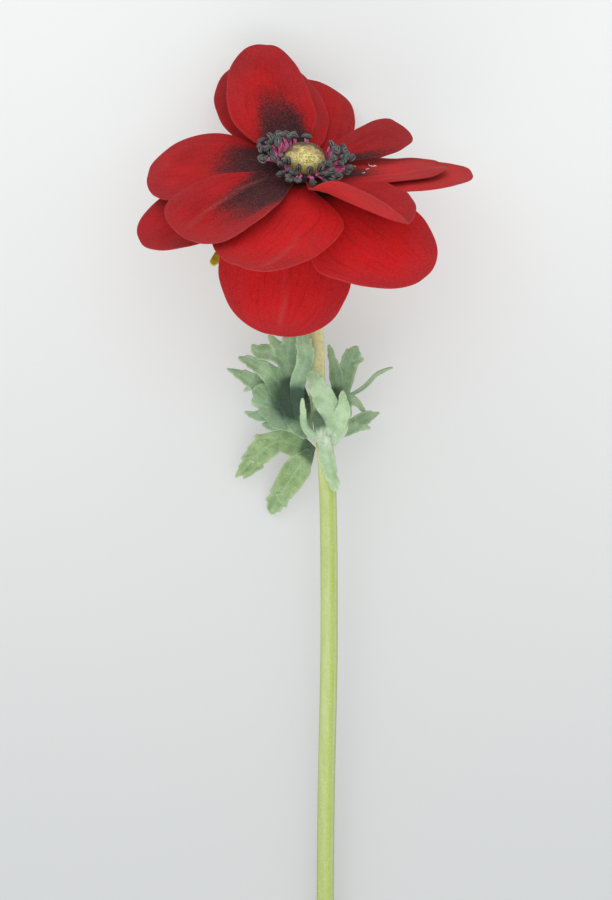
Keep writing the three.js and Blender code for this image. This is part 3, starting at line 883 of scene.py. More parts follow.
@dataclass(frozen=True)
class Petal:
    """One petal, in millimetres and degrees, as the part's source gives it.

    It stands at an azimuth, on one of five levels, and may swing sideways towards its tip. Pitch is its
    slope at root, middle and tip. Cup, width and blunt are given for its left side and its right, and a
    larger blunt makes a side of its tip squarer. Widest is where it is widest, as a share of its length.
    Foot is its dark patch: the share of its length that it reaches, and its middle and half width at the
    root as shares of half the petal's width. Fold is a pressed line: its places across the root and the
    tip, as shares of half the width, and the share of the length at which it starts. Tone is painted light
    and shade: how much brighter than the others the petal is painted, as if more lit, or darker, as if in
    shade, where it is below 0.
    """

    number: int
    level: int
    azimuth: float
    pitch: tuple[float, float, float]
    length: float
    width: tuple[float, float]
    swing: float = 0
    roll: float = 0
    cup: tuple[float, float] = (0, 0)
    crease: float = 0
    widest: float = 0.58
    blunt: tuple[float, float] = (2.1, 2.1)
    foot: tuple[float, float, float] = (0.22, 0, 0.7)
    fold: tuple[float, float, float] = (0, 0, 2)
    ripple: float = 0.22
    # painted light and shade: above 0 the petal is painted brighter, as if lit, and below 0 darker, as if in
    # shade
    tone: float = 0

    STEPS = 40
    LEVEL_STEP = 1.15
    TOP_LEVEL = 5
    ROOT_RADIUS = 3.6
    CLAW = 0.16
    WIDENING = 1.35
    WOBBLE = 0.006
    TIP = 0.05
    CREASE_REACH = 0.18
    THICKNESS = 0.6
    THINNING = 0.08
    RIM_ROUNDING = 0.35
    VEINS = 7
    VEIN_HEIGHT = 0.04
    RIDGE_HEIGHT = 0.25
    RIDGE_WIDTH = 0.55
    NAP_REACH = 9
    SLICES = 12
    ROWS = 58
    RIM_ROWS = (0.985, 0.992, 0.997)
    COLUMNS = 37
    RIM_COLUMNS = (-0.99, -0.975, 0.975, 0.99)
    CROWDING = 1.25

    def half_width(self, s: np.ndarray, t: np.ndarray) -> np.ndarray:
        """Returns half the petal's width on the side of t, at shares s of its length."""
        spread = np.sin(math.pi / 2 * np.minimum(1, s / self.widest)) ** self.WIDENING
        widening = self.CLAW + (1 - self.CLAW) * spread
        u = np.clip((s - self.widest) / (1 - self.widest), 0, 1)
        rounding = np.sqrt(np.maximum(0, 1 - u ** np.where(t > 0, *self.blunt))) * (1 - self.TIP) + self.TIP
        wobble = 1 + (np.sin(s * 17 + self.number) + np.sin(s * 29 - t * 2 + self.number)) * self.WOBBLE
        return np.where(s < self.widest, widening, rounding) * np.where(t > 0, *self.width) * wobble

    def inset(self, s: np.ndarray, t: np.ndarray) -> np.ndarray:
        """Returns the distance from the petal's edge in millimetres."""
        return np.minimum((1 - np.abs(t)) * self.half_width(s, t), (1 - s) * self.length)

    def midline(self) -> tuple[Points, Points, Points]:
        """Follows the petal's midline.

        Returns:
            Its places, and the directions to its left and up, at even steps from the root.
        """
        s = np.linspace(0, 1, self.STEPS + 1)
        outward = BLOOM.outwards(self.azimuth + self.swing * s)
        pitch = np.radians(np.interp(s, (0, 0.5, 1), self.pitch))[:, None]
        along = outward * np.cos(pitch) + BLOOM.axis * np.sin(pitch)
        roll = math.radians(self.roll) * ramp(s, 0.05, 0.6)
        left = turned_about(np.cross(BLOOM.axis, outward), along, roll)
        root = BLOOM.at(self.ROOT_RADIUS, self.azimuth, (self.level - self.TOP_LEVEL) * self.LEVEL_STEP)
        steps = np.vstack([np.zeros(3), along[:-1] * self.length / self.STEPS])
        return root + np.cumsum(steps, axis=0), left, np.cross(along, left)

    def section(self, s: np.ndarray, t: np.ndarray) -> tuple[np.ndarray, np.ndarray]:
        """Works out how far the petal's cross-section reaches.

        Args:
            s: Shares of its length.
            t: Shares of half its width, positive to the left.

        Returns:
            The reach to the left, and upwards.
        """
        left = t > 0
        reach = self.half_width(s, t) * np.abs(t)
        cup = np.radians(np.where(left, *self.cup)) * ramp(s, 0.08, 0.5)
        crease = math.radians(self.crease) * ramp(s, 0.08, 0.5)
        across, lift = np.zeros_like(s), np.zeros_like(s)
        for k in range(self.SLICES):
            w = (k + 0.5) / self.SLICES * np.abs(t)
            slope = cup * w + crease * np.minimum(1, w / self.CREASE_REACH)
            across += np.cos(slope) * reach / self.SLICES
            lift += np.sin(slope) * reach / self.SLICES
        return across * np.sign(t), lift

    def ripples(self, s: np.ndarray, t: np.ndarray) -> np.ndarray:
        """Returns the soft dents and the wavy rim that the cloth has, as heights in millimetres."""
        across = t * self.half_width(s, t) / max(self.width)
        rim = np.clip(np.maximum(np.abs(across) ** 3, ramp(s, 0.7, 1)), 0, 1) * ramp(s, 0.2, 0.5)
        phase = self.number * 1.7
        waves = np.sin(s * 13 + across * 5 + phase) * 0.6 + np.sin(s * 21 - across * 8 + phase * 2.3) * 0.4
        dents = np.sin(s * 6 + phase) * np.sin(across * 4.2 + phase * 1.3) * ramp(s, 0.15, 0.4)
        veins = np.cos(t * math.pi * self.VEINS) * ramp(s, 0.05, 0.3) * ramp(s, 0.95, 0.6) * self.VEIN_HEIGHT
        return (waves * rim + dents * 0.7) * self.ripple + veins + self.RIDGE_HEIGHT * self.ridge(s, t)

    def ridge(self, s: np.ndarray, t: np.ndarray) -> np.ndarray:
        """Returns the pressed line's ridge, from 0 to 1."""
        root, tip, start = self.fold
        away = (t - root - (tip - root) * s) * self.half_width(s, t)
        return np.exp(-((away / self.RIDGE_WIDTH) ** 2)) * ramp(s, start, start + 0.2) * ramp(s, 1, 0.85)

    def surface(self, s: np.ndarray, t: np.ndarray) -> Points:
        """Returns places on the petal's middle surface."""
        places, lefts, ups = self.midline()
        f = np.clip(s, 0, 1) * self.STEPS
        k = np.minimum(f.astype(int), self.STEPS - 1)
        w = (f - k)[..., None]
        across, lift = self.section(s, t)
        lift = lift + self.ripples(s, t)
        left = unit(lefts[k] * (1 - w) + lefts[k + 1] * w)
        up = unit(ups[k] * (1 - w) + ups[k + 1] * w)
        return places[k] * (1 - w) + places[k + 1] * w + left * across[..., None] + up * lift[..., None]

    def half_thickness(self, s: np.ndarray, t: np.ndarray) -> np.ndarray:
        """Returns half the petal's thickness, thinner and rounded at its rim."""
        inset = np.clip(self.inset(s, t) / self.RIM_ROUNDING, 0, 1)
        rim = np.sqrt(np.clip(1 - (1 - inset) ** 2, 0.04, 1))
        return (self.THICKNESS / 2 - self.THINNING * ramp(s, 0.2, 0.9)) * rim

    def patch(self, s: np.ndarray, t: np.ndarray) -> np.ndarray:
        """Returns how dark the foot's patch is, from 0 to 1. It narrows away from the root."""
        reach, middle, half = self.foot
        u = s / reach
        v = np.abs(t - middle) / (half * (1.05 - 0.55 * np.clip(u, 0, 1))) * (0.4 + 0.6 * ramp(u, 0.1, 0.5))
        return (1 - ramp(u, 0.3, 1.15)) * (1 - ramp(v, 0.45, 1.3))

    def made(self, velvet: bpy.types.Material) -> None:
        """Makes the petal's piece in the given material, with closer rows and columns at its rim."""
        rows = 1 - (1 - np.linspace(0, 1, self.ROWS)) ** 1.5
        columns = np.sin(np.linspace(-1, 1, self.COLUMNS) * self.CROWDING) / math.sin(self.CROWDING)
        rows, columns = np.union1d(rows, self.RIM_ROWS), np.union1d(columns, self.RIM_COLUMNS)
        shape = blade(self.surface, rows, columns, self.half_thickness)
        s, t = shape.marks["along"], shape.marks["across"]
        inset = self.inset(s, t)
        shape.marks |= {
            "foot": self.patch(s, t),
            "fold": self.ridge(s, t),
            # the petal's painted light and shade, the same all over it
            "tone": np.full(len(s), self.tone),
            "outer": np.repeat((0.0, 1.0), len(s) // 2),
            "edge": 1 - ramp(inset, 0.05, 0.4),
            "nap": np.clip(1 - inset / self.NAP_REACH, 0, 1) * ramp(s, 0.25, 0.9),
        }
        seated(shape.made(f"velvet_petal_{self.number:02d}"), Slot.PETAL, velvet, f"petal_{self.number:02d}")


PETALS = (
    Petal(
        1, 5, 123, (12, 17, 17), 46, (14.2, 11.6),
        swing=-27, cup=(15, 15), widest=0.42, blunt=(1.6, 2.1), foot=(0.7, -0.12, 0.8),
    ),
    Petal(2, 2, 112, (5, 10, 12), 49.5, (16, 9), cup=(-14, 0), tone=-0.4),
    Petal(3, 3, 106, (7, 10.5, 11), 46.5, (9, 13), cup=(5, -18), fold=(-0.85, -0.5, 0.3)),
    Petal(4, 1, 96, (5, 9, 11), 44.6, (12, 14.5), swing=-8, cup=(-5, -22), blunt=(4, 4)),
    Petal(
        5, 5, 53, (11, 5, 0), 34.6, (3.6, 11.5),
        cup=(5, 0), widest=0.72, blunt=(4, 3), foot=(0.72, -0.95, 0.5), tone=-0.7,
    ),
    Petal(
        6, 4, 13.5, (6, 7.5, 7.5), 37, (13, 11),
        roll=-20, cup=(8, -8), foot=(0.55, -0.15, 0.6), fold=(-0.7, -0.3, 0.55), tone=0.4,
    ),
    Petal(7, 3, 11, (5, 7, 8), 44.5, (17.5, 14.5), roll=-19, cup=(5, -8), blunt=(1.6, 1.6), tone=1),
    Petal(
        8, 5, 306, (4, 8, 9), 39, (14.5, 12),
        swing=28, roll=-24, crease=34, foot=(0.4, 0.2, 0.6), tone=0.1,
    ),
    Petal(
        9, 2, 321, (-4, -10, -12), 45, (14.5, 20),
        swing=5, roll=22, widest=0.52, blunt=(2.3, 1.1), tone=1,
    ),
    Petal(
        10, 3, 261, (0, -7, -10), 44.2, (18, 18), swing=-15, cup=(-10, -18), widest=0.35, blunt=(1.6, 2.1),
        foot=(0.1, 0, 0.4), fold=(0.25, 0.7, 0.45), tone=1,
    ),
    Petal(
        11, 1, 270, (-30, -55, -60), 42.2, (18.5, 18.8),
        cup=(10, 10), blunt=(2.2, 1.8), fold=(-0.1, 0.1, 0.5), tone=0.6,
    ),
    Petal(12, 4, 172, (5, -21, -34), 42.5, (16, 13), roll=-11, widest=0.66, foot=(0.62, 0, 1.1)),
    Petal(
        13, 5, 229, (-1, -14, -20), 41.6, (14, 14), roll=7, crease=10, widest=0.66, blunt=(5.5, 4.5),
        foot=(0.86, 0.25, 0.95), fold=(-0.35, -0.15, 0.15), ripple=0.15,
    ),
    Petal(14, 2, 203, (-13, -25, -30), 45.5, (15.5, 14.5), cup=(10, 0)),
)


@dataclass
class Lint:
    """Loose white threads that cling to a petal.

    Each is given by its middle as shares of the petal's length and half width, its turn on the petal in
    degrees and its length in millimetres.
    """

    petal: int = 6
    radius: float = 0.11
    lift: float = 0.45
    threads: tuple[tuple[float, ...], ...] = (
        (0.3, 0.35, 20, 1.4),
        (0.4, 0.1, 75, 1.1),
        (0.43, 0.4, -40, 1.8),
        (0.46, 0.3, 60, 1.5),
        (0.36, -0.2, 10, 1),
    )

    def line(self, host: Petal, k: int) -> Points:
        """Returns the bent line that a thread follows over its petal."""
        s, t, turn, length = self.threads[k]
        share = np.linspace(-0.5, 0.5, 9)
        bow = 0.35 * np.cos(share * 5 + k) + 0.12 * np.sin(share * 14 + k)
        cos, sin = math.cos(math.radians(turn)), math.sin(math.radians(turn))
        out, side = (share * cos - bow * sin) * length, (share * sin + bow * cos) * length
        return host.surface(s + out / host.length, t + side / host.width[0]) + BLOOM.axis * self.lift

    def made(self, petals: Sequence[Petal]) -> None:
        """Makes the threads on one of the given petals."""
        host = next(petal for petal in petals if petal.number == self.petal)
        lines = [self.line(host, k) for k in range(len(self.threads))]
        seated(Threads().drawn("petal_lint", lines, LINT, self.radius, sides=5), Slot.PETAL, None)


@dataclass
class Calyx:
    """The ring behind the bloom with its five sepals: azimuth, slopes, length and half width of each."""

    ring: tuple[tuple[float, float], ...] = ((3.65, -7.4), (5, -7.4), (5, -6.5), (3.65, -6.5))
    thickness: float = 0.8
    thinning: float = 0.35
    keel: float = 0.12
    root_depth: float = 0.9
    outline: tuple[float, ...] = (0.55, 0.85, 1, 0.75, 0.28)
    sepals: tuple = (
        (220, (-34, -39, -44), 29.5, 4.4),
        (287, (-62, -66, -70), 14, 3.4),
        (359, (-28, -28, -28), 17, 3.6),
        (71, (-22, -20, -18), 17, 3.6),
        (143, (-34, -34, -34), 17, 3.6),
    )

    def sepal(self, azimuth: float, pitch: tuple[float, float, float], length: float, half: float) -> Shape:
        """Returns one sepal, a pointed blade that is folded a little along its midrib."""
        radius, height = self.ring[1][0] - self.root_depth, (self.ring[0][1] + self.ring[2][1]) / 2
        steps = 24
        share = (np.arange(steps) + 0.5) / steps
        left = np.cross(BLOOM.axis, BLOOM.outwards(azimuth))

        def surface(s: np.ndarray, t: np.ndarray) -> Points:
            """Returns places on the sepal's middle surface."""
            slopes = np.radians(np.interp(share * s[..., None], (0, 0.5, 1), pitch))
            out = radius + np.cos(slopes).mean(-1) * length * s
            up = height + np.sin(slopes).mean(-1) * length * s + np.abs(t) * half * self.keel
            width = np.interp(s, np.linspace(0, 1, len(self.outline)), self.outline) * half * t
            middle = BLOOM.centre + BLOOM.outwards(azimuth) * out[..., None] + BLOOM.axis * up[..., None]
            return middle + left * width[..., None]

        def half_thickness(s: np.ndarray, t: np.ndarray) -> np.ndarray:
            """Returns half the sepal's thickness, thinner towards its edges."""
            return self.thickness / 2 * (1 - self.thinning * t**2)

        return blade(surface, np.linspace(0, 1, 25), np.linspace(-1, 1, 11), half_thickness)

    def made(self) -> None:
        """Makes the calyx as one fused piece."""
        ring = revolved(self.ring, segments=40, closed=True)
        bodies = Shape.joined([ring, *(self.sepal(*sepal) for sepal in self.sepals)])
        piece = fused(bodies, "calyx_cup", voxel=0.22, smoothing=4)
        seated(piece, Slot.CALYX, CALYX_SKIN.made(), "calyx")


def fused(shape: Shape, name: str, voxel: float, smoothing: int) -> bpy.types.Object:
    """Fuses the bodies of a shape into one skin.

    Args:
        shape: The bodies, which may run into one another.
        name: The piece's name.
        voxel: The size of the new skin's faces in millimetres.
        smoothing: How many times the skin is smoothed.

    Returns:
        The object, a plain mesh.
    """
    source = shape.made(name + "_bodies")
    remesh = source.modifiers.new("fuse", "REMESH")
    remesh.mode = "VOXEL"
    remesh.voxel_size = voxel * MM
    remesh.use_smooth_shade = True
    soften = source.modifiers.new("soften", "SMOOTH")
    soften.factor = 0.5
    soften.iterations = smoothing
    return settled(source, name)


@dataclass
class Stamens:
    """The ring of stamens: pink threads that carry dark two-lobed anthers.

    They stand in rows that lean further out and lower, one after another. Thin gives the stretches of the
    ring where they are fewer, behind the dome and in front of it: its azimuths and the share that stands.
    """

    count: int = 84
    rows: int = 3
    ring: tuple[tuple[float, float], ...] = ((6.45, 1.75), (8, 1.75), (8, 2.4), (6.45, 2.4))
    reach: float = 7.9
    row_step: float = 2.3
    height: float = 6.7
    row_drop: float = 1.2
    root_inset: float = 0.8
    root_rise: float = 0.2
    thin: tuple[tuple[float, float, float], ...] = ((42, 114, 0.08), (212, 308, 0.42))
    anther_length: float = 2.8
    anther_width: float = 1.85
    thread_radius: float = 0.33
    between: float = 0.5
    between_share: float = 0.5

    @staticmethod
    def azimuth(i: float) -> float:
        """Returns where a stamen stands: they follow one another by the golden angle."""
        return (i * 137.508) % 360

    def stands(self, i: float) -> bool:
        """Returns whether a stamen is there."""
        share = 1 if i == int(i) else self.between_share
        for start, end, thinned in self.thin:
            if start < self.azimuth(i) < end:
                share = thinned
        return scatter(i, 6) < share

    def line(self, i: float) -> tuple[Points, Points, Points]:
        """Follows one stamen.

        Args:
            i: Its index. A half stands between two of the part's own stamens.

        Returns:
            Its root, its tip and the direction of its anther.
        """
        azimuth = self.azimuth(i)
        row = int(i) % self.rows
        back = max(0, math.sin(math.radians(azimuth)))
        front = max(0, -math.sin(math.radians(azimuth)))
        root = BLOOM.at(self.ring[1][0] - self.root_inset, azimuth, self.ring[0][1] + self.root_rise)
        radius = (self.reach + row * self.row_step + scatter(i, 1) * 1.2) * (1 - 0.12 * front)
        height = (self.height - row * self.row_drop + scatter(i, 2)) * (1 - 0.35 * front - 0.2 * back)
        tip = BLOOM.at(radius, azimuth + (scatter(i, 3) - 0.5) * 10, height)
        across = unit(BLOOM.outwards(azimuth + 90 + (scatter(i, 4) - 0.5) * 120))
        across = across + BLOOM.axis * (scatter(i, 5) - 0.3) * 0.9
        upright = float(ramp(np.array(front), 0.55, 0.85))
        return root, tip, unit(across * (1 - upright) + unit(tip - root) * upright)

    def anther(self) -> bpy.types.Object:
        """Makes one anther along X about its own middle: a bean with a groove between its two lobes.

        The mark "groove" is 1 in the groove and 0 on the lobes.
        """
        rings, sides = 13, 20
        share = np.sin(np.linspace(-1, 1, rings) * math.pi / 2)
        profile = np.sqrt(np.maximum(0.02, 1 - np.abs(share) ** 2.4))[:, None]
        angle = np.arange(sides) / sides * 2 * math.pi
        groove = np.exp(-((np.cos(angle) / 0.3) ** 2)) * np.sqrt(profile)
        half = self.anther_width / 2
        places = np.empty((rings, sides, 3))
        places[..., 0] = share[:, None] * self.anther_length / 2
        places[..., 1] = profile * np.cos(angle) * half
        places[..., 2] = profile * np.sin(angle) * (1 - 0.5 * groove) * half * 0.85
        last = (rings - 1) * sides
        faces = ringed(rings, sides) + [tuple(reversed(range(sides))), tuple(range(last, last + sides))]
        return Shape(places.reshape(-1, 3), faces, {"groove": groove.ravel()}).made("anther_form")

    def threads(self, indices: list[float]) -> None:
        """Makes the threads, each a little bowed, and the ring that they stand in."""
        bend = np.linspace(0, 1, 6)[:, None]
        lines = []
        for i in indices:
            root, tip, _ = self.line(i)
            belly = BLOOM.axis * (0.9 + scatter(i, 7)) - BLOOM.outwards(self.azimuth(i)) * 0.5
            lines.append(root + (tip - root) * bend + belly * bend * (1 - bend) * 1.6)
        piece = Threads().drawn("stamen_threads", lines, PINK_THREAD, self.thread_radius, sides=6)
        seated(piece, Slot.STAMENS, None, "stamens")
        ring = revolved(self.ring, segments=48, closed=True).made("stamen_ring")
        seated(ring, Slot.STAMENS, RING_SKIN.made())

    def anthers(self, indices: list[float]) -> None:
        """Makes the anthers, each across the end of its thread."""
        tips, aims, faces, sizes = [], [], [], []
        for i in indices:
            root, tip, across = self.line(i)
            tips.append(tip)
            aims.append(across)
            faces.append(unit(unit(tip - root) - BLOOM.back * 1.2 * scatter(i, 9)))
            sizes.append(0.82 + 0.3 * scatter(i, 8))
        spots = Shape(np.array(tips), [], {"aim": aims, "face": faces, "size": sizes}).made("anther_spots")
        form = self.anther()
        piece = Copies().grown("stamen_anthers", spots, Copied=form, Material=AntherSkin().made())
        bpy.data.objects.remove(spots)
        bpy.data.objects.remove(form)
        seated(piece, Slot.STAMENS, None)

    def made(self) -> None:
        """Makes the threads with their ring, and the anthers."""
        indices = [i + share for i in range(self.count) for share in (0, self.between)]
        indices = [i for i in indices if self.stands(i)]
        self.threads(indices)
        self.anthers(indices)


@dataclass
class Dome:
    """The round centre, a ball that is a little flat, on a short neck, with a grained skin."""

    radius: float = 6.1
    half: float = 5
    middle: float = 2.9
    neck: float = 3.2
    foot: float = 0.75
    lowest: float = -22
    highest: float = 89
    rings: int = 60
    segments: int = 150
    swell: float = 0.12

    def made(self) -> None:
        """Makes the dome."""
        angles = np.radians(np.linspace(self.lowest, self.highest, self.rings))
        ball = [(self.radius * math.cos(a), self.middle + self.half * math.sin(a)) for a in angles]
        profile = [(0, self.foot), (self.neck, self.foot), *ball, (0, self.middle + self.half)]
        shape = revolved(profile, self.segments)
        out = shape.points - BLOOM.at(0, 0, self.middle)
        height = out @ BLOOM.axis / self.half
        waves = [noise.noise(Vector(p) * 0.5) + noise.noise(Vector(p) * 2.6) for p in shape.points]
        shape.points += unit(out) * (self.swell * np.array(waves) * ramp(height, -0.3, 0.1))[:, None]
        shape.marks = {"back": out @ BLOOM.back / self.radius, "low": 1 - ramp(height, -0.1, 0.7)}
        seated(shape.made("dome_cushion"), Slot.DOME, DomeGrain().made(), "centre_dome")


@dataclass
class Stem:
    """The stem with the receptacle at its head.

    Its line runs down from the head to the cut end. Its folds lie along it, each at a share of a turn,
    with a width in the same share and a depth.
    """

    radius: float = 2.45
    head_radius: float = 3.3
    head_depth: float = 8
    taper: float = 6.4
    head: tuple[float, ...] = (0.45, -4, -8, -13)
    line: tuple = (
        (-1, 92.5, 26.8),
        (1.6, 79, 23.4),
        (2.7, 67.8, 22.1),
        (3.3, 53, 20.7),
        (5.2, 38.9, 19.4),
        (6.2, 25, 18.2),
        (6.6, -20, 14.2),
        (5.8, -62, 10.4),
        (5.5, -100, 7),
        (5.4, -151.6, 2.45),
    )
    folds: tuple[tuple[float, ...], ...] = ((0.39, 0.018, 0.14), (0.34, 0.03, -0.05))
    ribs: int = 5
    rib_depth: float = 0.04
    rings: int = 260
    sides: int = 40

    def middles(self) -> Points:
        """Returns even steps along the stem's middle line, from its head to the cut."""
        points = [BLOOM.at(0, 0, height) for height in self.head] + list(self.line)
        fine = centripetal(points, np.linspace(0, 1, 4000))
        length = np.concatenate([[0], np.cumsum(np.linalg.norm(np.diff(fine, axis=0), axis=1))])
        even = np.linspace(0, length[-1], self.rings)
        return np.stack([np.interp(even, length, fine[:, k]) for k in range(3)], 1)

    def relief(self) -> np.ndarray:
        """Returns how far in the surface lies at each side, by the stem's folds and its soft ribs."""
        around = np.arange(self.sides) / self.sides
        folds = sum(depth * np.exp(-(((around - at) / width) ** 2)) for at, width, depth in self.folds)
        return folds + self.rib_depth * np.cos(around * 2 * math.pi * self.ribs)

    def made(self) -> None:
        """Makes the stem and its down."""
        middles = self.middles()
        run = np.linspace(0, np.linalg.norm(np.diff(middles, axis=0), axis=1).sum(), self.rings)
        slimmed = ramp(run, self.head_depth, self.head_depth + self.taper)
        radii = self.head_radius + (self.radius - self.head_radius) * slimmed
        piece = tube(middles, radii[:, None] - self.relief(), self.sides).made("stem_rod")
        seated(piece, Slot.STEM, StemSkin().made(), "stem")
        hair = {"Density": 9e5, "Hair_Length": 0.45 * MM, "Hair_Radius": 0.035 * MM, "Seed": 3}
        seated(Down().grown("stem_down", piece, Material=PALE_DOWN.made(), **hair), Slot.STEM, None)


Station = tuple[float, ...]


@dataclass
class Leaf:
    """One leaf of the ruff: lobes that run into one another.

    A lobe is a strip through stations of x, y, z and half its width in millimetres, and the tilt of its
    face in degrees where it has one. The hollow shade is the middle and reach of the shade painted dark into
    the leaf's hollow, and collar that of the pale collar where the leaves meet on the stem.
    """

    name: str
    lobes: tuple[tuple[Station, ...], ...]
    painted_hollow_shade: Station
    suede: Suede = Suede()
    collar: Station = (6, 39.6, 22.5, 3.8)
    thickness: float = 0.6
    fold: float = 8
    lobe_end: float = 0.85
    tooth: float = 3.4
    cut: float = 0.34
    rim: float = 0.4
    rib_width: float = 0.45
    row_step: float = 0.3
    columns: int = 11

    def lobe(self, stations: tuple[Station, ...], salt: int) -> Shape:
        """Makes one lobe with a softly cut edge.

        Args:
            stations: Its stations.
            salt: A number that sets its edge apart from the others'.

        Returns:
            The closed lobe. Its marks are "inset", the distance from its edge, and "midrib", from its middle.
        """
        places = [station[:3] for station in stations]
        knots = np.linspace(0, 1, len(stations))
        halves = [station[3] for station in stations]
        tilts = [math.radians(station[4]) if len(station) > 4 else 0.0 for station in stations]
        length = np.linalg.norm(np.diff(np.array(places), axis=0), axis=1).sum()

        def half_width(s: np.ndarray, t: np.ndarray) -> np.ndarray:
            """Returns half the lobe's width on the side of t, with small teeth, closed in a round end."""
            end = np.sqrt(1 - np.clip((s - self.lobe_end) / (1 - self.lobe_end), 0, 1) ** 2)
            teeth = 1 - (s * length / self.tooth + salt * 0.37 + (t > 0) * 0.4) % 1
            cut = self.cut * (teeth - 0.4) * ramp(s, 0.55, 0.8)
            wave = 0.05 * np.sin(s * 13 + salt * 2.1) + 0.03 * np.sin(s * 29 + t + salt)
            return np.interp(s, knots, halves) * (1 + wave - cut) * (0.25 + 0.75 * end)

        def surface(s: np.ndarray, t: np.ndarray) -> Points:
            """Returns places on the lobe's middle surface."""
            step = 1e-3
            along = unit(centripetal(places, s + step) - centripetal(places, s - step))
            left = unit(np.cross([0, 0, 1], along))
            left = turned_about(left, along, np.interp(s, knots, tilts))
            half = half_width(s, t)
            lift = np.abs(t) * half * math.tan(math.radians(self.fold))
            lift = lift + 0.16 * np.sin(s * 9 + t * 3 + salt) * np.abs(t)
            up = np.cross(along, left)
            return centripetal(places, s) + left * (half * t)[..., None] + up * lift[..., None]

        def half_thickness(s: np.ndarray, t: np.ndarray) -> np.ndarray:
            """Returns half the lobe's thickness, with a slight midrib and thinner edges."""
            midrib = np.exp(-((t * half_width(s, t) / self.rib_width) ** 2))
            return self.thickness / 2 * (1 - 0.25 * t**2 + 0.35 * midrib)

        rows = np.linspace(0, 1, max(12, round(length / self.row_step)))
        shape = blade(surface, rows, np.linspace(-1, 1, self.columns), half_thickness)
        s, t = shape.marks["along"], shape.marks["across"]
        half = half_width(s, t)
        inset = np.minimum((1 - np.abs(t)) * half, (1 - s) * length)
        shape.marks = {"inset": inset, "midrib": np.abs(t) * half}
        return shape

    def weather(self, piece: bpy.types.Object, bodies: Shape) -> None:
        """Marks a piece's edges, ribs, painted hollow shade and collar, after the bodies that it was fused
        from.
        """
        tree = kdtree.KDTree(len(bodies.points))
        for i, place in enumerate(bodies.points):
            tree.insert(place * MM, i)
        tree.balance()
        inset, midrib, places = [], [], []
        for vertex in piece.data.vertices:
            near = [i for _, i, _ in tree.find_range(vertex.co, self.rim * MM)] or [tree.find(vertex.co)[1]]
            inset.append(max(bodies.marks["inset"][i] for i in near))
            midrib.append(min(bodies.marks["midrib"][i] for i in near))
            places.append(vertex.co / MM)
        painted_hollow_shade, collar = (
            np.linalg.norm(np.array(places) - spot[:3], axis=1) / spot[3]
            for spot in (self.painted_hollow_shade, self.collar)
        )
        edge = 1 - ramp(np.array(inset), self.rim + 0.05, self.rim * 2)
        marks = {
            "edge": edge * ramp(painted_hollow_shade, 0.8, 1.3),
            "rib": 1 - ramp(np.array(midrib), 0.0, 0.3),
            # painted shade, darkest at the middle of the leaf's hollow
            "painted_hollow_shade": 1 - ramp(painted_hollow_shade, 0.2, 1),
            "collar": 1 - ramp(collar, 0.5, 1),
        }
        marked(piece.data, marks)

    def made(self, down: Down, sage: bpy.types.Material) -> None:
        """Makes the leaf and its down in the given material."""
        bodies = Shape.joined([self.lobe(lobe, salt) for salt, lobe in enumerate(self.lobes)])
        piece = fused(Shape(bodies.points, bodies.faces), self.name + "_blade", voxel=0.2, smoothing=3)
        self.weather(piece, bodies)
        seated(piece, Slot.LEAF, self.suede.made(), self.name)
        hair = {"Density": 3e6, "Hair_Length": 0.22 * MM, "Hair_Radius": 0.03 * MM, "Seed": 5}
        seated(down.grown(self.name + "_down", piece, Material=sage, **hair), Slot.LEAF, None)


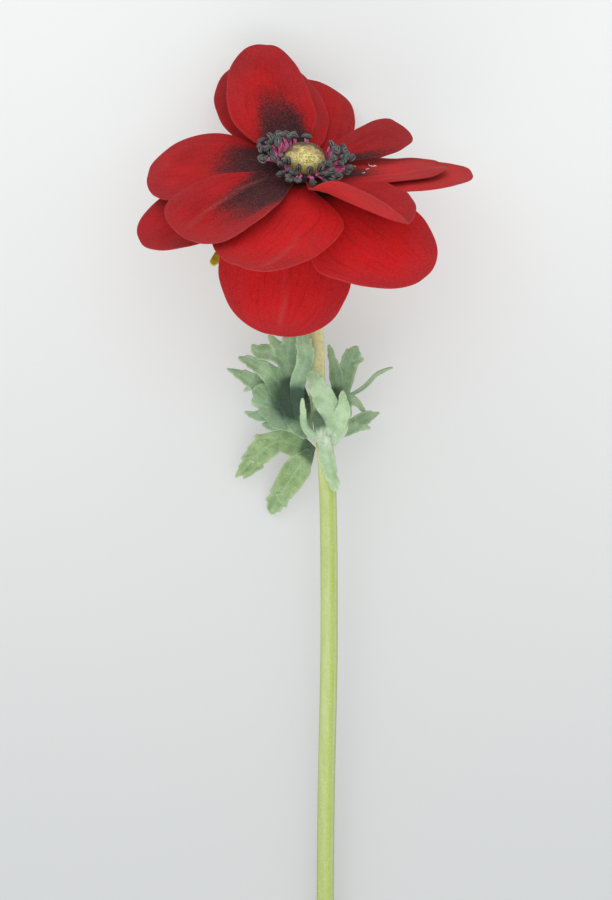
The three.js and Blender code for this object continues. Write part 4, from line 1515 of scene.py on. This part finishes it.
LEAVES = (
    Leaf(
        "leaf_left",
        (
            (
                (0.9, 39.8, 18, 1.6), (-1.5, 44, 15, 3.8), (-3, 50, 13.8, 4.4),
                (-4.3, 57, 15, 3.4), (-5, 63, 18, 2.8), (-4.4, 67.5, 19.8, 2.3), (-4, 71, 21, 1),
            ),
            ((-5.4, 61.5, 17.2, 2), (-7.6, 65, 19, 2), (-10.4, 68.4, 20.5, 0.7)),
            (
                (-1.8, 45.5, 14.8, 1), (-2.4, 51, 16, 1.9), (-2, 56, 21, 2.2),
                (0, 62, 25.8, 2.7), (-0.6, 67, 27, 2.2), (-1.3, 71, 27.6, 0.9),
            ),
            (
                (-4.3, 57, 15, 2), (-6.5, 61.5, 17.5, 2), (-10, 63.5, 19, 2.2),
                (-13.5, 64.2, 20, 2.3), (-15.3, 65.6, 21, 0.8),
            ),
            (
                (-2, 47, 14.3, 3.6), (-6, 53, 14.2, 4.2), (-10.5, 58, 16.5, 2.6),
                (-15, 60.8, 19, 2.1), (-19, 62.2, 21, 0.6),
            ),
            ((-6, 51, 13.8, 3.6), (-12, 54, 13.2, 3), (-16.5, 56.5, 12.5, 2.1), (-22.3, 59.2, 12, 0.5)),
            ((-14, 55, 12.8, 1.4), (-17.5, 53, 12, 0.5)),
            ((-1, 42.5, 15.8, 2.6), (-5, 46, 13.2, 5.4), (-10, 50, 13.2, 5), (-14.5, 54, 15, 2.4)),
            ((-10, 48, 13, 2), (-15.2, 49.5, 14, 0.5)),
            ((-9, 46.5, 13, 2), (-13, 45.8, 12, 1.6), (-17.3, 46.8, 11, 0.5)),
            ((-6, 44.5, 13, 2), (-9.5, 43.2, 12, 1.8), (-12.2, 43.4, 11.5, 0.5)),
        ),
        painted_hollow_shade=(-3.2, 50.8, 14, 11),
    ),
    Leaf(
        "leaf_front",
        (
            (
                (2.4, 35.6, 18.2, 1.3), (-3, 37.6, 12, 3.4), (-8, 38.5, 9.5, 3.4),
                (-13, 35.5, 7.5, 3.6), (-17, 31.5, 5.5, 2.2), (-20, 28.3, 4, 0.5),
            ),
            ((-9, 39.5, 9.2, 1.5), (-14.6, 40, 8.5, 0.5)),
            ((-13.5, 34.5, 7.3, 2.2), (-18.2, 33.6, 6, 0.5)),
            ((-13, 32.5, 7, 1.8), (-17.8, 28, 5, 0.5)),
            (
                (1.6, 36.2, 17, 1.2), (-1.5, 32, 11.5, 3.9), (-4.5, 27.5, 8, 3.7),
                (-8, 22, 4.5, 3.2), (-10, 18, 2, 1.4),
            ),
            ((-6.5, 24, 6, 2.2), (-6.3, 20.2, 4.5, 0.5)),
        ),
        painted_hollow_shade=(2, 36, 16, 6.5),
        suede=Suede(
            "suede_front", tint(158, 182, 130), tint(116, 142, 92), tint(116, 146, 110),
            shade=tint(72, 92, 68),
        ),
    ),
    Leaf(
        "leaf_top",
        (
            ((1.6, 40.2, 21.5, 1.2), (5.2, 38.9, 22.9, 1.4), (8.6, 38, 21.3, 1.2)),
            ((5.2, 39.5, 22.9, 1.8), (5.9, 34.5, 22.2, 2.2), (7, 30, 21.8, 2), (8.6, 24.6, 22, 1.4)),
            ((2.6, 39.5, 22, 1.2), (-0.2, 43, 24.5, 1.2), (-0.9, 50.6, 28, 0.6)),
            (
                (7.6, 38.4, 21.9, 1.6), (8.9, 43, 23.6, 3.2), (6.6, 48, 26, 3.2),
                (3.4, 54, 28, 3), (1.5, 58.5, 27.5, 1.8),
            ),
            ((8.9, 43, 23.6, 2.6), (10.6, 47.5, 26.5, 2.2), (10.3, 52.7, 29, 0.7)),
            ((4.4, 40, 23, 1.4), (4.4, 45.5, 24.2, 2.5), (4, 51, 25, 1.9), (3.6, 55, 25.8, 0.6)),
        ),
        painted_hollow_shade=(3, 45, 23.4, 5),
        # painted light: the top leaf's suede is a lighter copy of the others, as if it were more lit
        suede=Suede(
            "suede_top", tint(178, 202, 164), tint(138, 168, 128), tint(134, 164, 142),
            shade=tint(66, 90, 68),
        ),
    ),
    Leaf(
        "leaf_right",
        (
            ((9.3, 39.8, 18.2, 1.4), (10.6, 46, 15, 2.4), (10.2, 52, 14, 2.4)),
            ((9.8, 50, 14.3, 2), (8.5, 58, 17, 1.9), (6.6, 65.8, 19.5, 0.6)),
            ((10.2, 51, 14.1, 2.2), (11.5, 58, 16, 2.6), (13.2, 62.5, 18, 2.8), (14.6, 65.4, 19.5, 1.2)),
            ((13.2, 61.5, 17.6, 1.8), (16.3, 61.8, 18.5, 0.6)),
            (
                (10.3, 50.5, 14.3, 1.2, 30), (13.5, 52.2, 12, 1.2, 65), (16.5, 54, 11, 1.2, 70),
                (20.5, 58, 11, 1.2, 70), (24.7, 59.6, 12, 0.5, 60),
            ),
            ((10, 40.8, 17.2, 1.6), (13.5, 43, 14.5, 2.2), (17, 45.3, 11.5, 2), (20.9, 46.6, 9, 0.5)),
            ((13.5, 42.8, 14.5, 1.6), (18.3, 42.4, 12, 0.5)),
            ((10.4, 51, 14.2, 1.4), (13.9, 50, 12.5, 1.3), (16.8, 47.2, 10.5, 0.6)),
        ),
        painted_hollow_shade=(8, 52, 13.5, 6),
    ),
)


@dataclass
class Studio:
    """The table, the soft lights and the camera that looks straight down.

    A lamp has its name, its place in metres and its power in watts.
    """

    distance: float = 1.6
    plane: float = 38 * MM
    centre: tuple[float, float] = (0.1 * MM, 36.1 * MM)
    sensor: float = 36
    table_half: float = 3000
    lamp_size: float = 1.4
    lamps: tuple = (
        ("key", (-0.3, 0.8, 0.95), 4.5),
        ("fill", (0.7, 0.0, 1.3), 2.5),
        ("front", (-0.2, -1.0, 0.9), 10.5),
    )
    sky: Color = (0.96, 0.98, 1, 1)
    sky_strength: float = 0.74

    def made(self) -> None:
        """Sets the studio up."""
        half = self.table_half
        corners = [(-half, -half, 0), (half, -half, 0), (half, half, 0), (-half, half, 0)]
        table = Shape(np.array(corners, float), [(0, 1, 2, 3)]).made("table_top")
        table.data.materials.append(TableTop().made())
        for name, place, power in self.lamps:
            self.lamp(name, place, power)
        world = bpy.data.worlds.new("studio")
        world.use_nodes = True
        background = world.node_tree.nodes["Background"].inputs
        background["Color"].default_value = self.sky
        background["Strength"].default_value = self.sky_strength
        bpy.context.scene.world = world
        bpy.context.scene.view_settings.view_transform = "Standard"
        self.camera()

    def lamp(self, name: str, place: tuple[float, float, float], power: float) -> None:
        """Hangs a square soft light that faces the flower."""
        data = bpy.data.lights.new(name, "AREA")
        data.size = self.lamp_size
        data.energy = power
        lamp = linked(name, data)
        lamp.location = place
        aim = Vector((*self.centre, self.plane)) - lamp.location
        lamp.rotation_euler = aim.to_track_quat("-Z", "Y").to_euler()

    def camera(self) -> None:
        """Sets the camera over the flower, with the photograph's scale at the height of the bloom."""
        data = bpy.data.cameras.new("camera")
        data.sensor_width = self.sensor
        data.lens = self.sensor * self.distance / (PHOTO_HEIGHT * MM_PER_PIXEL * MM)
        data.clip_end = 10
        camera = linked("camera", data)
        camera.location = (*self.centre, self.plane + self.distance)
        bpy.context.scene.camera = camera


def main() -> None:
    """Builds the flower and the studio, in order."""
    velvet = Velvet().made()
    for petal in PETALS:
        petal.made(velvet)
    Lint().made(PETALS)
    Calyx().made()
    Stamens().made()
    Dome().made()
    Stem().made()
    down, sage = Down(), SAGE_DOWN.made()
    for leaf in LEAVES:
        leaf.made(down, sage)
    Studio().made()


if __name__ == "__main__":
    main()
